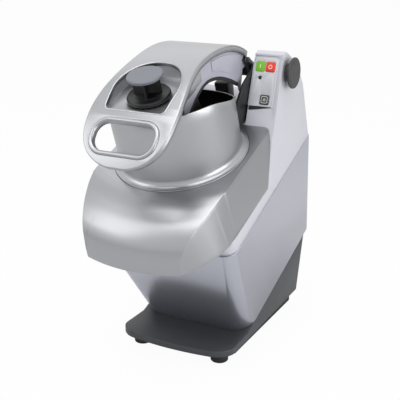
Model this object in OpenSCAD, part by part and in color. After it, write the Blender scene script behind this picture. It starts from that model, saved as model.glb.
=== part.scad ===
// Vegetable cutting machine: a tilted motor housing on a stand, with a hopper lid,
// a feed lever, a pestle, a cutting chamber with its discs, and a belt drive.
// The x axis runs across the machine, y runs from front to back, z is up.
// The machine's own frame is tilted back: v runs up the cover, w is normal to it,
// and the cutting discs turn about the w axis through x = 0, v = 0.

/* [Posture] */
// Backward tilt of the machine on its stand, in degrees
tilt = 20; // [18:0.5:22]

/* [Stand] */
// Distance between the centres of the front feet
foot_gap = 190; // [184:2:196]
// Diameter of a front foot
foot_d = 38; // [34:1:42]
// Height of a front foot
foot_h = 26; // [24:1:28]
// Thickness of the stand's plate
plate_t = 14; // [12:1:16]
// Half the width of the stand at the front
stand_half = 133; // [130:1:136]
// Half the width of the stand at the back
stand_back_half = 125; // [122:1:128]
// Distance from the foot centres forward to the plate's edge
plate_front = 50; // [46:1:54]
// Radius of the plate's front corners
plate_corner = 38; // [32:1:44]
// Distance from the foot centres back to the stand's lower rear edge
stand_back = 365; // [355:1:375]
// Distance from the foot centres back to the housing's front edge
seat_y = 63.3; // [60:0.5:66]
// Length of the wedge under the housing, along its slope
wedge_len = 364; // [350:1:370]
// Wall thickness of the stand
stand_wall = 5; // [4:0.5:6]
// Distance from the middle to the centre of a sole rail
rail_x = 109; // [106:1:112]
// Width of a sole rail
rail_w = 10; // [8:1:12]

/* [Motor base] */
// Half the width of the base at its bottom
base_half = 131; // [128:1:134]
// Half the width of the base at its bottom, at the back
base_back_half = 128; // [125:1:131]
// Distance forward from the spindle to the front of the base's bottom
base_front = 88; // [84:1:92]
// Distance back from the spindle to the rear of the base's bottom
base_back = 303; // [298:1:308]
// Radius of the front corners at the bottom
base_corner = 45; // [40:1:50]
// Depth of the base's bottom below the cover plane
base_w = 400; // [394:1:406]
// Half the width at the crease below the cover
crease_half = 163; // [161:0.5:165]
// Half the width at the crease, at the back
crease_back_half = 153; // [151:0.5:155]
// Distance forward from the spindle to the front of the crease
crease_front = 145; // [142:1:147]
// Distance back from the spindle to the rear of the crease
crease_back = 316; // [313:1:319]
// Radius of the front corners at the crease
crease_corner = 27; // [22:1:32]
// Depth of the crease below the cover plane
crease_w = 132; // [130:1:134]
// Radius of the housing's rear corners
back_corner = 18; // [14:1:22]
// Wall thickness of the motor base
base_wall = 4; // [3.5:0.5:5]
// Height of the ledge that carries the motor plate
ledge_h = 8; // [6:1:10]
// Depth of the ledge below the cover plane
ledge_w = 190; // [188:1:194]
// Width of the ledge
ledge_in = 10; // [8:1:12]

/* [Upper housing] */
// Half the width of the upper housing at the front
upper_half = 160.5; // [160:0.5:162]
// Half the width of the upper housing at the back
upper_back_half = 151; // [149:0.5:153]
// Distance forward from the spindle to the front of the tray
tray_front = 141; // [138:1:143]
// Depth of the tray's top below the cover plane
tray_w = 104; // [103:0.5:106]
// Thickness of the chamber floor
floor_t = 6; // [5:0.5:7]
// Wall thickness of the upper housing
upper_wall = 4; // [3.5:0.5:5]
// Half the gap between the two columns
column_in = 90; // [89:0.5:92]
// Distance back from the spindle to the foot of the column's face
column_foot = 122; // [120:1:124]
// Distance back from the spindle to the top of the column's face
column_lean = 209; // [206:1:212]
// Height of the top of the column's face above the cover plane
column_face = 109; // [106:1:112]
// Height of the column above the cover plane
column_top = 119; // [116:1:122]
// Length of the column's flat top
column_flat = 20; // [17:1:22]
// Radius of the column's curved back
column_round = 249; // [245:1:253]
// Depth of that curve's centre below the cover plane
column_round_w = 65.5; // [63:0.5:68]
// Radius of the rear deck's edge
deck_round = 60; // [55:1:65]

/* [Nose cover] */
// Half the width of the cover at its lower edge
cover_half = 158; // [157:0.5:159]
// Half the width of the cover at its top
cover_top_half = 150.5; // [149:0.5:152]
// Distance forward from the spindle to the cover's front
cover_front = 259; // [254:1:264]
// Distance forward to where the sides start to curve in, at the lower edge
cover_bend = 128; // [122:1:132]
// Distance forward to where the sides start to curve in, at the top
cover_top_bend = 92; // [86:1:98]
// Radius of the cover's bowed front
cover_bow = 355; // [345:1:365]
// Length over which the front rolls down
cover_roll = 121; // [116:1:126]
// Wall thickness of the cover
cover_wall = 3; // [2.5:0.5:4]
// Radius of the recess that holds the lid
recess_r = 140; // [139.5:0.5:141]
// Depth of the recess that holds the lid
recess_d = 2; // [1.5:0.25:2.25]
// Radius of the cover's rear corners
cover_corner = 20; // [16:1:24]

/* [Cutting chamber] */
// Inner radius of the bowl
bowl_r = 122; // [120:0.5:123]
// Wall thickness of the bowl
bowl_wall = 4; // [3:0.5:5]
// Half the width of the discharge opening
mouth_half = 84; // [78:1:88]
// Height of the discharge opening
mouth_h = 62; // [56:1:66]
// Reach of the chute beyond the tray
chute_reach = 10; // [6:1:12]
// Drop of the chute's lip
chute_drop = 10; // [6:1:12]
// Thickness of the chute's sheet
chute_t = 2.5; // [2:0.5:3]

/* [Discs and spindle] */
// Radius of the drive shaft
shaft_r = 10; // [9:0.5:11]
// Radius of the slicing disc
disc_r = 115; // [112:0.5:116]
// Depth of the slicing disc below the cover plane
disc_w = 16; // [14:0.5:18]
// Thickness of the slicing disc
disc_t = 3; // [2.5:0.5:4]
// Half the width of a blade's slot
slot_half = 9; // [8:0.5:10]
// Radius of the ejector disc
ejector_r = 116; // [112:0.5:118]
// Height of the ejector's vanes
vane_h = 14; // [10:1:16]
// Outer radius of a bearing
bearing_r = 23.5; // [22.5:0.5:24.5]
// Height of a bearing
bearing_h = 14; // [12:1:15]
// Outer radius of the bearing housing
carrier_r = 32; // [30:0.5:34]
// Radius of the bearing housing's flange
carrier_flange = 58; // [54:1:62]
// Depth of the bearing housing's lower end below the cover plane
carrier_w = 152; // [151:1:154]

/* [Belt drive and motor] */
// Distance from the spindle back to the motor's axis
motor_v = 175; // [170:1:180]
// Radius of the motor's body
motor_r = 72; // [68:1:76]
// Height of the motor
motor_h = 170; // [160:1:180]
// Radius of the motor's shaft
motor_shaft_r = 9; // [8:0.5:10]
// Radius of the spindle's pulley
pulley_r = 60; // [56:1:64]
// Radius of the motor's pulley
pinion_r = 25; // [23:1:28]
// Height of the pulleys
pulley_h = 22; // [20:1:24]
// Width of the belt
belt_h = 16; // [14:1:18]
// Thickness of the belt
belt_t = 4; // [3:0.5:5]
// Thickness of the motor plate
mount_t = 4; // [3:0.5:5]
// Radius of the capacitor
cap_r = 20; // [18:1:22]
// Height of the capacitor
cap_h = 84; // [76:1:92]

/* [Lid and hopper] */
// Outer radius of the lid's flange
lid_r = 139; // [138.5:0.25:139.25]
// Thickness of the lid's flange
lid_t = 3; // [2.5:0.25:4]
// Outer radius of the hopper
hopper_r = 125; // [123:0.5:126]
// Wall thickness of the hopper
hopper_wall = 3.5; // [3:0.25:4]
// Height of the hopper's rim over the spindle
rim_h = 131; // [128:1:134]
// Slope of the hopper's rim to the cover plane, in degrees
rim_slope = 24; // [22:0.5:26]
// Highest point of the rim, at the front
rim_top = 151; // [148:1:153]
// Radius of the fillet at the hopper's foot
hopper_fillet = 12; // [9:1:13]
// Thickness of a lid arm
lid_arm_t = 7; // [6:0.5:8]
// Distance from the middle to the inner face of a lid arm
lid_arm_x = 80; // [79:0.5:81]
// Radius of the arms' ends
arm_r = 16; // [14:1:18]

/* [Hinge] */
// Distance back from the spindle to the hinge pin
hinge_v = 222; // [219:1:224]
// Height of the hinge pin above the cover plane
hinge_w = 74.5; // [73:0.5:76]
// Radius of the hinge pin
pin_r = 8; // [7:0.5:9]
// Radius of the pin's knob
knob_r = 32.5; // [30:0.5:34]
// Thickness of the pin's knob
knob_t = 6; // [5:0.5:7]
// Radius of the knob's hub
hub_r = 19; // [17:0.5:20]
// Distance from the middle to the knob's face
knob_x = 171; // [170:0.5:172]
// Largest opening angle of the lid, in degrees
lid_open = 65; // [60:1:70]
// Largest opening angle of the lever, in degrees
lever_open = 60; // [50:1:65]

/* [Lever] */
// Radius of the hood's top
hood_r = 335; // [328:1:342]
// Height of the hood's crown above the cover plane
hood_top = 200.5; // [198:0.5:203]
// Distance back from the spindle to the hood's crown
hood_crown = 8; // [6:1:10]
// Half the greatest width of the hood
hood_half = 90; // [88:0.5:92]
// Distance forward from the spindle to the hood's front
hood_front = 221; // [216:1:226]
// Distance back from the spindle to the hood's rear end
hood_back = 196; // [192:1:199]
// Radius of the hood's rear roll
hood_roll = 150; // [145:1:155]
// Angle at which the rear roll starts, in degrees
hood_turn = 24; // [22:0.5:26]
// Depth of the hood's side band
band_h = 14; // [12:0.5:16]
// Thickness of the hood's sheet
hood_wall = 2.5; // [2:0.25:3]
// Half the width of the window
window_half = 70.5; // [67:0.5:72]
// Distance forward from the spindle to the window's widest place
window_mid = 80; // [76:1:84]
// Length of the window's arched part
window_arch = 87; // [83:1:91]
// Length of the window's straight part
window_foot = 51; // [47:1:54]
// Place of the hand hole, as a share of the way to the hood's front
grip_share = 0.796; // [0.78:0.004:0.808]
// Width of the hand hole
grip_w = 126; // [120:1:130]
// Height of the hand hole
grip_h = 58; // [54:1:60]
// Radius of the hand hole's corners
grip_r = 25; // [21:0.5:27]
// Width of the rim round the hand hole
grip_rim = 10; // [8:0.5:11]
// Height of the tray's floor above the cover plane
tray_top = 163; // [161:0.5:164]
// Thickness of the lever tray
tray_t = 3; // [2.5:0.25:3.5]
// Half the inner width of the lever tray
tray_half = 70; // [69:0.5:71]
// Distance from the middle to the outer face of a side wall
side_x = 67.3; // [66:0.1:67.3]
// Thickness of a side wall
side_t = 4; // [3:0.5:5]
// Thickness of a lever arm
lever_arm_t = 8; // [7:0.5:9]
// Radius of the presser plate
presser_r = 108; // [104:0.5:109]
// Thickness of the presser plate
presser_t = 10; // [8:0.5:12]

/* [Pestle] */
// Distance forward from the spindle to the pestle's axis
pestle_v = 68; // [66:0.5:70]
// Inner radius of the feed tube
tube_r = 28; // [27:0.25:29]
// Wall thickness of the feed tube
tube_wall = 3; // [2.5:0.25:3.5]
// Radius of the pestle's body
pestle_r = 26.5; // [25:0.25:26.5]
// Radius of the pestle's stop flange
pestle_flange = 42.5; // [40:0.5:44]
// Thickness of the stop flange
flange_t = 7; // [6:0.5:8]
// Radius of the pestle's top disc
pestle_top_r = 34.5; // [33:0.5:36]
// Height of the pestle's top above the cover plane
pestle_top = 214.5; // [212:0.5:217]
// Chamfer on the pestle's edges
pestle_edge = 2; // [1:0.25:2.5]
// Travel of the pestle when it is lifted
pestle_travel = 150; // [120:5:155]

/* [Panel] */
// Width of the panel plate
panel_w = 56; // [52:1:58]
// Height of the panel plate
panel_h = 107; // [100:1:110]
// Thickness of the panel plate
panel_t = 3; // [2:0.5:4]
// Distance from the middle to the panel's inner edge
panel_x = 88.5; // [88:0.5:90]
// Size of a key
key_a = 20.5; // [19:0.5:21]
// Travel of a key
key_travel = 1; // [0.6:0.1:1.2]

/* [Cable gland] */
// Radius of the cord's bore
cord_r = 4.5; // [4:0.25:5]
// Distance to the side of the cable gland
gland_x = 70; // [60:1:80]
// Depth of the cable gland below the cover plane
gland_w = 350; // [340:1:360]

/* [Hidden] */
$fn = 96;
// Roundness of the pieces that a hull joins
hull_fn = 32;
// Clearance between two pieces that rest on each other
seat = 0.3;
// Radial clearance of a shaft in its bore
running = 0.05;
// Length by which a cut runs past what it cuts
over = 10;
// Thickness of the slices that a hull joins
slice = 0.5;
// A diameter's share of its radius
twice = 2;
// Reach of a cut or a limit that is to pass the whole machine
far = 1000;

// Places of the tilted frame
stand_top = foot_h + plate_t;
pitch_y = seat_y + base_front * cos(tilt) - base_w * sin(tilt);
pitch_z = stand_top + seat + base_front * sin(tilt) + base_w * cos(tilt);
hood_axis_w = hood_top - hood_r;
// The lowest front corner of the hood and the lowest rear corner of the base bound the length
hood_front_w = hood_axis_w + sqrt(pow(hood_r, 2) - pow(hood_front + hood_crown, 2));
front_y = pitch_y - hood_front * cos(tilt) - hood_front_w * sin(tilt);
back_y = pitch_y + base_back * cos(tilt) + base_w * sin(tilt);
shift = [0, -(front_y + back_y) / 2, 0];
// Half the width of the upper housing beside the hinge
column_out = upper_half - (upper_half - upper_back_half) * (hinge_v - hub_r + tray_front - crease_corner)
    / (crease_back - back_corner + tray_front - crease_corner);

// Derived sizes of the drive
shaft_low = ledge_w - mount_t - seat;
bowl_low = tray_w - seat;
ejector_w = bowl_low - bowl_wall - 6 * seat;
pulley_w = carrier_w + mount_t;
motor_top = ledge_w + seat;
column_dir = [column_lean - column_foot, column_face];
column_len = norm(column_dir);
face_angle = atan2(column_dir[0], column_dir[1]);
tube_low = presser_t / 5;

// Frames and small helpers

module upright() translate(shift) children();

module tilted() upright() translate([0, pitch_y, pitch_z]) rotate([tilt, 0, 0]) children();

// Turns a drawing in (v, w) into a body that is w wide across the middle
module across(w) rotate([90, 0, 90]) linear_extrude(height = w, center = true) children();

// The same from x0 outward over the width w
module across_from(x0, w) translate([x0, 0, 0]) rotate([90, 0, 90])
    linear_extrude(height = w) children();

module at(v, w) translate([0, v, w]) children();

module tube(r_out, r_in, h) difference() {
    cylinder(r = r_out, h = h);
    translate([0, 0, -over]) cylinder(r = r_in, h = h + twice * over);
}

// A rounded rectangle of width a and height b about the middle
module pad(a, b, r) union() {
    square([a - twice * r, b], center = true);
    square([a, b - twice * r], center = true);
    for (sx = [-1, 1], sy = [-1, 1])
        translate([sx * (a / 2 - r), sy * (b / 2 - r)]) circle(r = r);
}

// A bar between two round eyes, a little narrower than they are
link_share = 0.85;
module link(p, q, r) union() {
    translate(p) circle(r = r);
    translate(q) circle(r = r);
    translate(p) rotate(atan2(q[1] - p[1], q[0] - p[0])) translate([0, -r * link_share])
        square([norm(q - p), twice * r * link_share]);
}

// An outline that narrows to the back and has round corners
module plan(front, back, half_front, half_back, r_front, r_back) union() {
    polygon([[-half_front + r_front, -front], [half_front - r_front, -front],
        [half_front, -front + r_front], [half_back, back - r_back],
        [half_back - r_back, back], [-half_back + r_back, back],
        [-half_back, back - r_back], [-half_front, -front + r_front]]);
    for (s = [-1, 1]) {
        translate([s * (half_front - r_front), -front + r_front]) circle(r = r_front);
        translate([s * (half_back - r_back), back - r_back]) circle(r = r_back);
    }
}

// Stand

function stand_side(t) = [[-plate_front + t, foot_h + t],
    [-plate_front + t, stand_top - t],
    [seat_y, stand_top - t],
    [seat_y + wedge_len * cos(tilt) - t, stand_top + wedge_len * sin(tilt) - twice * t],
    [stand_back - t, foot_h + t]];

module stand_body(t) intersection() {
    across(far) polygon(stand_side(t));
    linear_extrude(height = far) plan(plate_front - t, stand_back + plate_front - t,
        stand_half - t, stand_back_half - t, plate_corner - t, plate_t - t);
}

module base_stand() upright() color("#3B3C40") difference() {
    stand_body(0);
    stand_body(stand_wall);
    // Opening in the underside, clear of the feet and the rails
    translate([0, (foot_d + stand_back) / 2, foot_h])
        cube([twice * (rail_x - rail_w) - foot_d, stand_back - twice * foot_d, plate_t], center = true);
}

module rail(s) upright() color("#1C1C1E")
    translate([s * rail_x - rail_w / 2, foot_d, 0])
    cube([rail_w, stand_back - foot_d - plate_t, foot_h - seat]);

module rail_left() rail(-1);
module rail_right() rail(1);

module foot(s) upright() color("#1C1C1E") translate([s * foot_gap / 2, 0, 0]) rotate_extrude()
    polygon([[0, 0], [foot_d / 2 - rail_w / 5, 0], [foot_d / 2, rail_w / 5],
        [foot_d / 2, foot_h - rail_w], [foot_d / 2 - rail_w / 5, foot_h - rail_w / 2],
        [foot_d / 2 - rail_w / 5, foot_h - seat], [0, foot_h - seat]]);

module foot_left() foot(-1);
module foot_right() foot(1);

// Motor base

module base_corners(t, w, front, back, half_front, half_back, r) at(0, w)
    for (s = [-1, 1]) {
        translate([s * (half_front - r), -front + r, 0])
            cylinder(r = r - t, h = slice, $fn = hull_fn);
        translate([s * (half_back - back_corner), back - back_corner, 0])
            cylinder(r = back_corner - t, h = slice, $fn = hull_fn);
    }

// The tapered body, moved in by the wall t, from the depth low up to the crease
module base_form(t, low, high) hull() {
    base_corners(t, -low, base_front, base_back, base_half, base_back_half, base_corner);
    base_corners(t, -crease_w + high - slice, crease_front, crease_back, crease_half,
        crease_back_half, crease_corner);
}

module motor_base() tilted() color("#B9BAC2") difference() {
    union() {
        difference() {
            base_form(0, base_w, 0);
            base_form(base_wall, base_w - base_wall, over);
        }
        // Ledge for the motor plate
        intersection() {
            base_form(base_wall / 2, base_w, 0);
            at(0, -ledge_w - ledge_h) linear_extrude(height = ledge_h) difference() {
                square(far, center = true);
                plan(base_front, crease_back - base_wall - ledge_in,
                    base_half - base_wall, base_half - base_wall,
                    base_corner, back_corner);
            }
        }
    }
    // Bore for the cable gland
    translate([-gland_x, base_back - base_wall - over, -gland_w]) rotate([-90, 0, 0])
        cylinder(r = cord_r + base_wall + seat, h = back_corner + twice * over);
}

// Upper housing

// The rear face's set-in from the crease, above the crease
column_set = 5;
column_mid = crease_back - column_set - column_round;
deck_mid = crease_back - column_set - deck_round;

// Side view of the rear part below the cover plane
module deck_side() union() {
    polygon([[cover_slant(-tray_w) + seat, -crease_w], [cover_slant(-tray_w) + seat, -tray_w],
        [cover_slant(-slant_w) + seat, -slant_w], [column_foot, 0], [deck_mid, 0],
        [deck_mid, -deck_round], [crease_back - column_set, -column_round_w],
        [crease_back, -crease_w]]);
    translate([deck_mid, -deck_round]) circle(r = deck_round);
}

slant_w = 17;
function cover_slant(w) = w < -slant_w
    ? column_foot - slant_w - (-slant_w - w) * 0.59
    : column_foot + w;

// Side view of the columns
module column_side() intersection() {
    polygon([[cover_slant(-slant_w) + seat, -slant_w], [column_foot, 0], [column_lean, column_face],
        [column_lean + column_flat / 5, column_top], [crease_back, column_top],
        [crease_back, -column_round_w], [cover_slant(-slant_w) + seat, -column_round_w]]);
    translate([column_mid, -column_round_w]) circle(r = column_round);
}

module upper_plan() plan(tray_front, crease_back, upper_half, upper_back_half,
    crease_corner, back_corner);

module upper_housing() tilted() color("#C9CAD0") difference() {
    intersection() {
        union() {
            // Tray round the chamber floor
            at(0, -crease_w) linear_extrude(height = crease_w - tray_w) upper_plan();
            across(far) deck_side();
            for (s = [-1, 1]) translate([s * (column_in + far / 2), 0, 0]) across(far) column_side();
        }
        at(0, -crease_w) linear_extrude(height = far) upper_plan();
    }
    // Hollow under the chamber floor
    at(0, -crease_w - over) linear_extrude(height = crease_w - tray_w - floor_t + over)
        plan(tray_front - upper_wall, crease_back - upper_wall, upper_half - upper_wall,
            upper_back_half - upper_wall, crease_corner - upper_wall, back_corner - upper_wall);
    // Hollow of the rear part
    difference() {
        across(twice * (upper_back_half - upper_wall)) offset(delta = -upper_wall) deck_side();
        cylinder(r = bowl_r + bowl_wall + seat + upper_wall, h = far, center = true);
        translate([-far / 2, -far, -far / 2]) cube([far, far + column_foot / 2, far]);
    }
    // Hollow of the columns
    for (s = [-1, 1]) translate([s * (column_in + upper_back_half) / 2, 0, 0])
        across(upper_back_half - column_in - twice * upper_wall) difference() {
            offset(delta = -upper_wall) column_side();
            translate([hinge_v, hinge_w]) circle(r = arm_r);
        }
    // Recess of the lid and bore of the chamber
    at(0, -recess_d) cylinder(r = recess_r, h = over);
    at(0, -tray_w) cylinder(r = bowl_r + bowl_wall + seat, h = far);
    at(0, -far / 2) cylinder(r = carrier_r + seat, h = far);
    // Bore of the hinge pin
    at(hinge_v, hinge_w) rotate([0, 90, 0]) cylinder(r = pin_r + running, h = far, center = true);
    // Seat of the panel
    on_face() translate([panel_x + panel_w / 2, panel_h / 2 + panel_low, -panel_t])
        linear_extrude(height = panel_t + over) pad(panel_w + seat, panel_h + seat, panel_corner);
    // Opening behind the panel for the keys and the light
    on_face() translate([panel_x + panel_w / 2, panel_h / 2 + panel_low, -panel_t - over])
        linear_extrude(height = twice * over)
        pad(panel_w - twice * panel_corner, panel_h - twice * panel_corner, panel_t);
}

panel_low = 39;
panel_corner = 6;

// The column's face: x across, y up the face, z out of it
module on_face() at(column_foot, 0) rotate([90 - face_angle, 0, 0]) children();

// Nose cover

// Shares of the half width and of the length from the bend to the front
nose_low_shares = [[1, 0], [0.995, 0.09], [0.975, 0.24], [0.945, 0.36], [0.9, 0.47],
    [0.835, 0.6], [0.765, 0.71], [0.69, 0.82], [0.625, 0.95], [0.56, 1.1]];
nose_top_shares = [[1, 0], [0.985, 0.1], [0.955, 0.23], [0.92, 0.33], [0.875, 0.44],
    [0.825, 0.55], [0.775, 0.66], [0.735, 0.76], [0.69, 0.87], [0.62, 1.05]];
// Shares of the roll's length and of its drop
roll_shares = [[0, 0], [0.165, 0.02], [0.33, 0.075], [0.455, 0.135], [0.578, 0.2],
    [0.69, 0.28], [0.79, 0.375], [0.893, 0.525], [0.959, 0.7], [0.992, 0.846], [1, 1]];

function nose_side(shares, half, bend, t) = [for (p = shares)
    [p[0] * (half - t), -bend - p[1] * (cover_front - bend) ]];

function nose_plan(shares, half, bend, t) = concat(
    nose_side(shares, half, bend, t),
    [for (i = [len(shares) - 1:-1:0]) let (p = nose_side(shares, half, bend, t)[i]) [-p[0], p[1]]],
    [[-half + t, 0], [-half + t, column_foot - cover_corner],
    [-half + cover_corner, column_foot], [half - cover_corner, column_foot],
    [half - t, column_foot - cover_corner], [half - t, 0]]);

module cover_form(t, top, low) intersection() {
    hull() {
        at(0, -top - slice) linear_extrude(height = slice)
            polygon(nose_plan(nose_top_shares, cover_top_half, cover_top_bend, t));
        at(0, -tray_w - low) linear_extrude(height = slice)
            polygon(nose_plan(nose_low_shares, cover_half, cover_bend, t));
    }
    // Bowed front with its roll
    at(cover_bow - cover_front, 0) rotate_extrude() polygon(concat(
        [[0, -tray_w - over], [0, -top]],
        [for (p = roll_shares) [cover_bow - t - cover_roll * (1 - p[0]),
            -top - p[1] * (tray_w - top)]],
        [[cover_bow - t, -tray_w - over]]));
    // Slanted rear edge
    across(far) polygon([[-far, -tray_w - (t > 0 ? over : 0)], [-far, over], [column_foot, over],
        [column_foot - seat, 0], [cover_slant(-slant_w), -slant_w],
        [cover_slant(-tray_w), -tray_w],
        [cover_slant(-tray_w), -tray_w - (t > 0 ? over : 0)]]);
}

module nose_cover() tilted() color("#C8C8CE") difference() {
    cover_form(0, 0, 0);
    cover_form(cover_wall, cover_wall, over);
    at(0, -recess_d) cylinder(r = recess_r, h = far);
    cylinder(r = recess_r - over, h = far, center = true);
}

// Cutting chamber

module chamber_bowl() tilted() color("#A9ABB2") difference() {
    at(0, -bowl_low) cylinder(r = bowl_r + bowl_wall, h = bowl_low - cover_wall - seat);
    at(0, -bowl_low + bowl_wall) cylinder(r = bowl_r, h = far);
    at(0, -far / 2) cylinder(r = carrier_r + seat, h = far);
    // Discharge opening
    translate([-mouth_half, -far, -bowl_low + bowl_wall]) cube([twice * mouth_half, far, mouth_h]);
}

chute_x = mouth_half + seat;
bowl_cut = sqrt(pow(bowl_r + bowl_wall, 2) - pow(chute_x + chute_t, 2));

module discharge_chute() tilted() color("#A9ABB2") difference() {
    across(twice * (chute_x + chute_t)) polygon([
        [-bowl_cut, -bowl_low], [-bowl_cut, -bowl_low + mouth_h],
        [-tray_front - chute_reach, -bowl_low + mouth_h],
        [-tray_front - chute_reach, -bowl_low - chute_drop],
        [-tray_front - chute_t, -bowl_low - chute_drop], [-tray_front - chute_t, -bowl_low]]);
    across(twice * chute_x) polygon([
        [over, -bowl_low + chute_t], [over, far], [-far, far], [-far, -far],
        [-tray_front - twice * chute_t, -far], [-tray_front - twice * chute_t, -bowl_low + chute_t]]);
    at(0, -far / 2) cylinder(r = bowl_r + bowl_wall + seat, h = far);
}

// Bearings and their housing

module bearing_carrier() tilted() color("#8D8F96") at(0, -carrier_w) rotate_extrude() difference() {
    union() {
        square([carrier_r, carrier_w - bowl_low + bowl_wall]);
        translate([0, carrier_w - tray_w - twice * floor_t - seat]) square([carrier_flange, floor_t]);
    }
    square([shaft_r + bowl_wall, far]);
    translate([0, -over]) square([bearing_r + seat / 10, over + bearing_h]);
    translate([0, carrier_w - bowl_low + bowl_wall - bearing_h - floor_t])
        square([bearing_r + seat / 10, far]);
}

module bearing(w) tilted() color("#D0D2D6") at(0, w) rotate_extrude() difference() {
    translate([shaft_r + running, 0]) square([bearing_r - shaft_r - running, bearing_h]);
    // Grooves between the two rings
    for (h = [0, bearing_h]) translate([(shaft_r + bearing_r) / 2, h])
        square([bearing_r / 5, bearing_h / 5], center = true);
}

module bearing_upper() bearing(-bowl_low + bowl_wall - bearing_h - floor_t);
module bearing_lower() bearing(-carrier_w);

module shaft_seal() tilted() color("#2B2B2D")
    at(0, -bowl_low + bowl_wall - floor_t + seat)
    tube(bearing_r - seat / 10, shaft_r + running, floor_t - seat);

// Belt drive and motor

module motor_plate() tilted() color("#9A9CA2") difference() {
    at(0, -ledge_w + seat) linear_extrude(height = mount_t)
        plan(base_front + over, crease_back - base_wall - over,
            base_half + over, base_half, base_corner, back_corner);
    at(motor_v, -far / 2) cylinder(r = motor_shaft_r + mount_t, h = far);
    at(0, -far / 2) cylinder(r = carrier_flange, h = far);
}

module motor() tilted() color("#5E6066") at(motor_v, -ledge_w - motor_h) difference() {
    union() {
        rotate_extrude() polygon([[0, 0], [motor_r * 0.8, 0], [motor_r * 0.95, motor_h / 9],
            [motor_r * 0.95, motor_h / 5], [motor_r, motor_h / 5], [motor_r, motor_h * 0.85],
            [motor_r * 0.95, motor_h * 0.85], [motor_r * 0.95, motor_h], [0, motor_h]]);
        // Cooling ribs
        for (a = [0:20:340]) rotate(a) translate([motor_r - mount_t, -mount_t / 4, motor_h / 4])
            cube([twice * mount_t, mount_t / 2, motor_h / 2]);
    }
    at(0, motor_h / 9) cylinder(r = motor_shaft_r + running, h = far);
}

module capacitor() tilted() color("#D8D8DA")
    translate([motor_r, -base_front / 4, -base_w + base_wall + seat]) union() {
        cylinder(r = cap_r, h = cap_h);
        cylinder(r = cap_r / 2, h = cap_h + mount_t);
        translate([-cap_r - mount_t, -cap_r - mount_t, 0])
            cube([twice * (cap_r + mount_t), twice * (cap_r + mount_t), mount_t]);
    }

module belt_line(t) hull() {
    circle(r = pulley_r + t);
    translate([0, motor_v]) circle(r = pinion_r + t);
}

module drive_belt() tilted() color("#1E1E20")
    at(0, -pulley_w - (pulley_h + belt_h) / 2) linear_extrude(height = belt_h) difference() {
        belt_line(belt_t);
        belt_line(seat);
    }

module pulley(r, bore) rotate_extrude() polygon([[bore, 0], [r + belt_t, 0], [r + belt_t, mount_t / 2],
    [r, mount_t / 2 + seat], [r, pulley_h - mount_t / 2 - seat], [r + belt_t, pulley_h - mount_t / 2],
    [r + belt_t, pulley_h], [bore, pulley_h]]);

module spindle_pulley() tilted() color("#8D8F96") at(0, -pulley_w - pulley_h)
    pulley(pulley_r, shaft_r + running);
module motor_pulley() tilted() color("#8D8F96") at(motor_v, -pulley_w - pulley_h)
    pulley(pinion_r, motor_shaft_r + running);

module motor_shaft() tilted() color("#C4C6CA") at(motor_v, -ledge_w - motor_h * 0.85)
    cylinder(r = motor_shaft_r, h = ledge_w + motor_h * 0.85 - pulley_w + mount_t);

module drive_shaft() tilted() color("#C4C6CA") at(0, -shaft_low) union() {
    cylinder(r = shaft_r, h = shaft_low - disc_w + disc_t + over - mount_t);
}

module slicing_disc() tilted() color("#D6D7DA") difference() {
    union() {
        at(0, -disc_w) cylinder(r = disc_r, h = disc_t);
        at(0, -disc_w - over) cylinder(r = shaft_r * 2.4, h = over);
        // Rim bead
        at(0, -disc_w - disc_t) tube(disc_r, disc_r - mount_t, disc_t);
    }
    cylinder(r = shaft_r + running, h = far, center = true);
    for (a = [0, 180]) rotate(a) translate([shaft_r * 2.8, -slot_half, -disc_w - over])
        cube([disc_r - shaft_r * 3.6, twice * slot_half, far]);
}

module slicing_blades() tilted() color("#E4E5E8") for (a = [0, 180]) rotate(a)
    translate([shaft_r * 2.8 + seat, slot_half - seat, -disc_w + disc_t]) rotate([12, 0, 0])
    translate([0, -slot_half - seat, 0])
    cube([disc_r - shaft_r * 3.6 - twice * seat, slot_half, disc_t / 3]);

module ejector_disc() tilted() color("#4A4B50") difference() {
    union() {
        at(0, -ejector_w) cylinder(r = ejector_r, h = disc_t);
        at(0, -ejector_w) cylinder(r = shaft_r * 2.4, h = ejector_w - disc_w - over - seat);
        for (a = [0:60:300]) rotate(a) translate([shaft_r, -disc_t / 2, -ejector_w])
            cube([ejector_r - shaft_r - disc_t, disc_t, vane_h]);
    }
    cylinder(r = shaft_r + running, h = far, center = true);
}

module disc_nut() tilted() color("#3A3A3D") difference() {
    at(0, -disc_w + disc_t + seat) cylinder(r1 = shaft_r * 2, r2 = shaft_r * 1.6, h = over);
    at(0, -disc_w + disc_t - over) cylinder(r = shaft_r + running, h = twice * over - mount_t + seat);
}

// Cable gland

module gland_at() translate([-gland_x, base_back + base_wall, -gland_w]) rotate([-90, 0, 0]) children();

module cable_gland() tilted() color("#222224") gland_at() difference() {
    union() {
        cylinder(r = cord_r * 2.2, h = over);
        translate([0, 0, -over - base_wall * 2]) cylinder(r = cord_r + base_wall, h = twice * over);
    }
    translate([0, 0, -over * 4]) cylinder(r = cord_r, h = far);
}

module gland_nut() tilted() color("#222224") gland_at()
    translate([0, 0, -twice * base_wall - over / 2 - mount_t]) difference() {
        cylinder(r = cord_r * 2.4, h = mount_t, $fn = 6);
        translate([0, 0, -over]) cylinder(r = cord_r + base_wall + running, h = far);
    }

// Panel, its board and its keys

key_gap = 22.5;
key_side = 16.5;
key_row = 124;
pulse_row = 55.5;
light_row = 101;
key_up = [[panel_x + key_side, key_row], [panel_x + key_side + key_gap, key_row],
    [panel_x + panel_w - twice * over, pulse_row]];
light_at = [panel_x + panel_w / 3, light_row];

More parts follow.
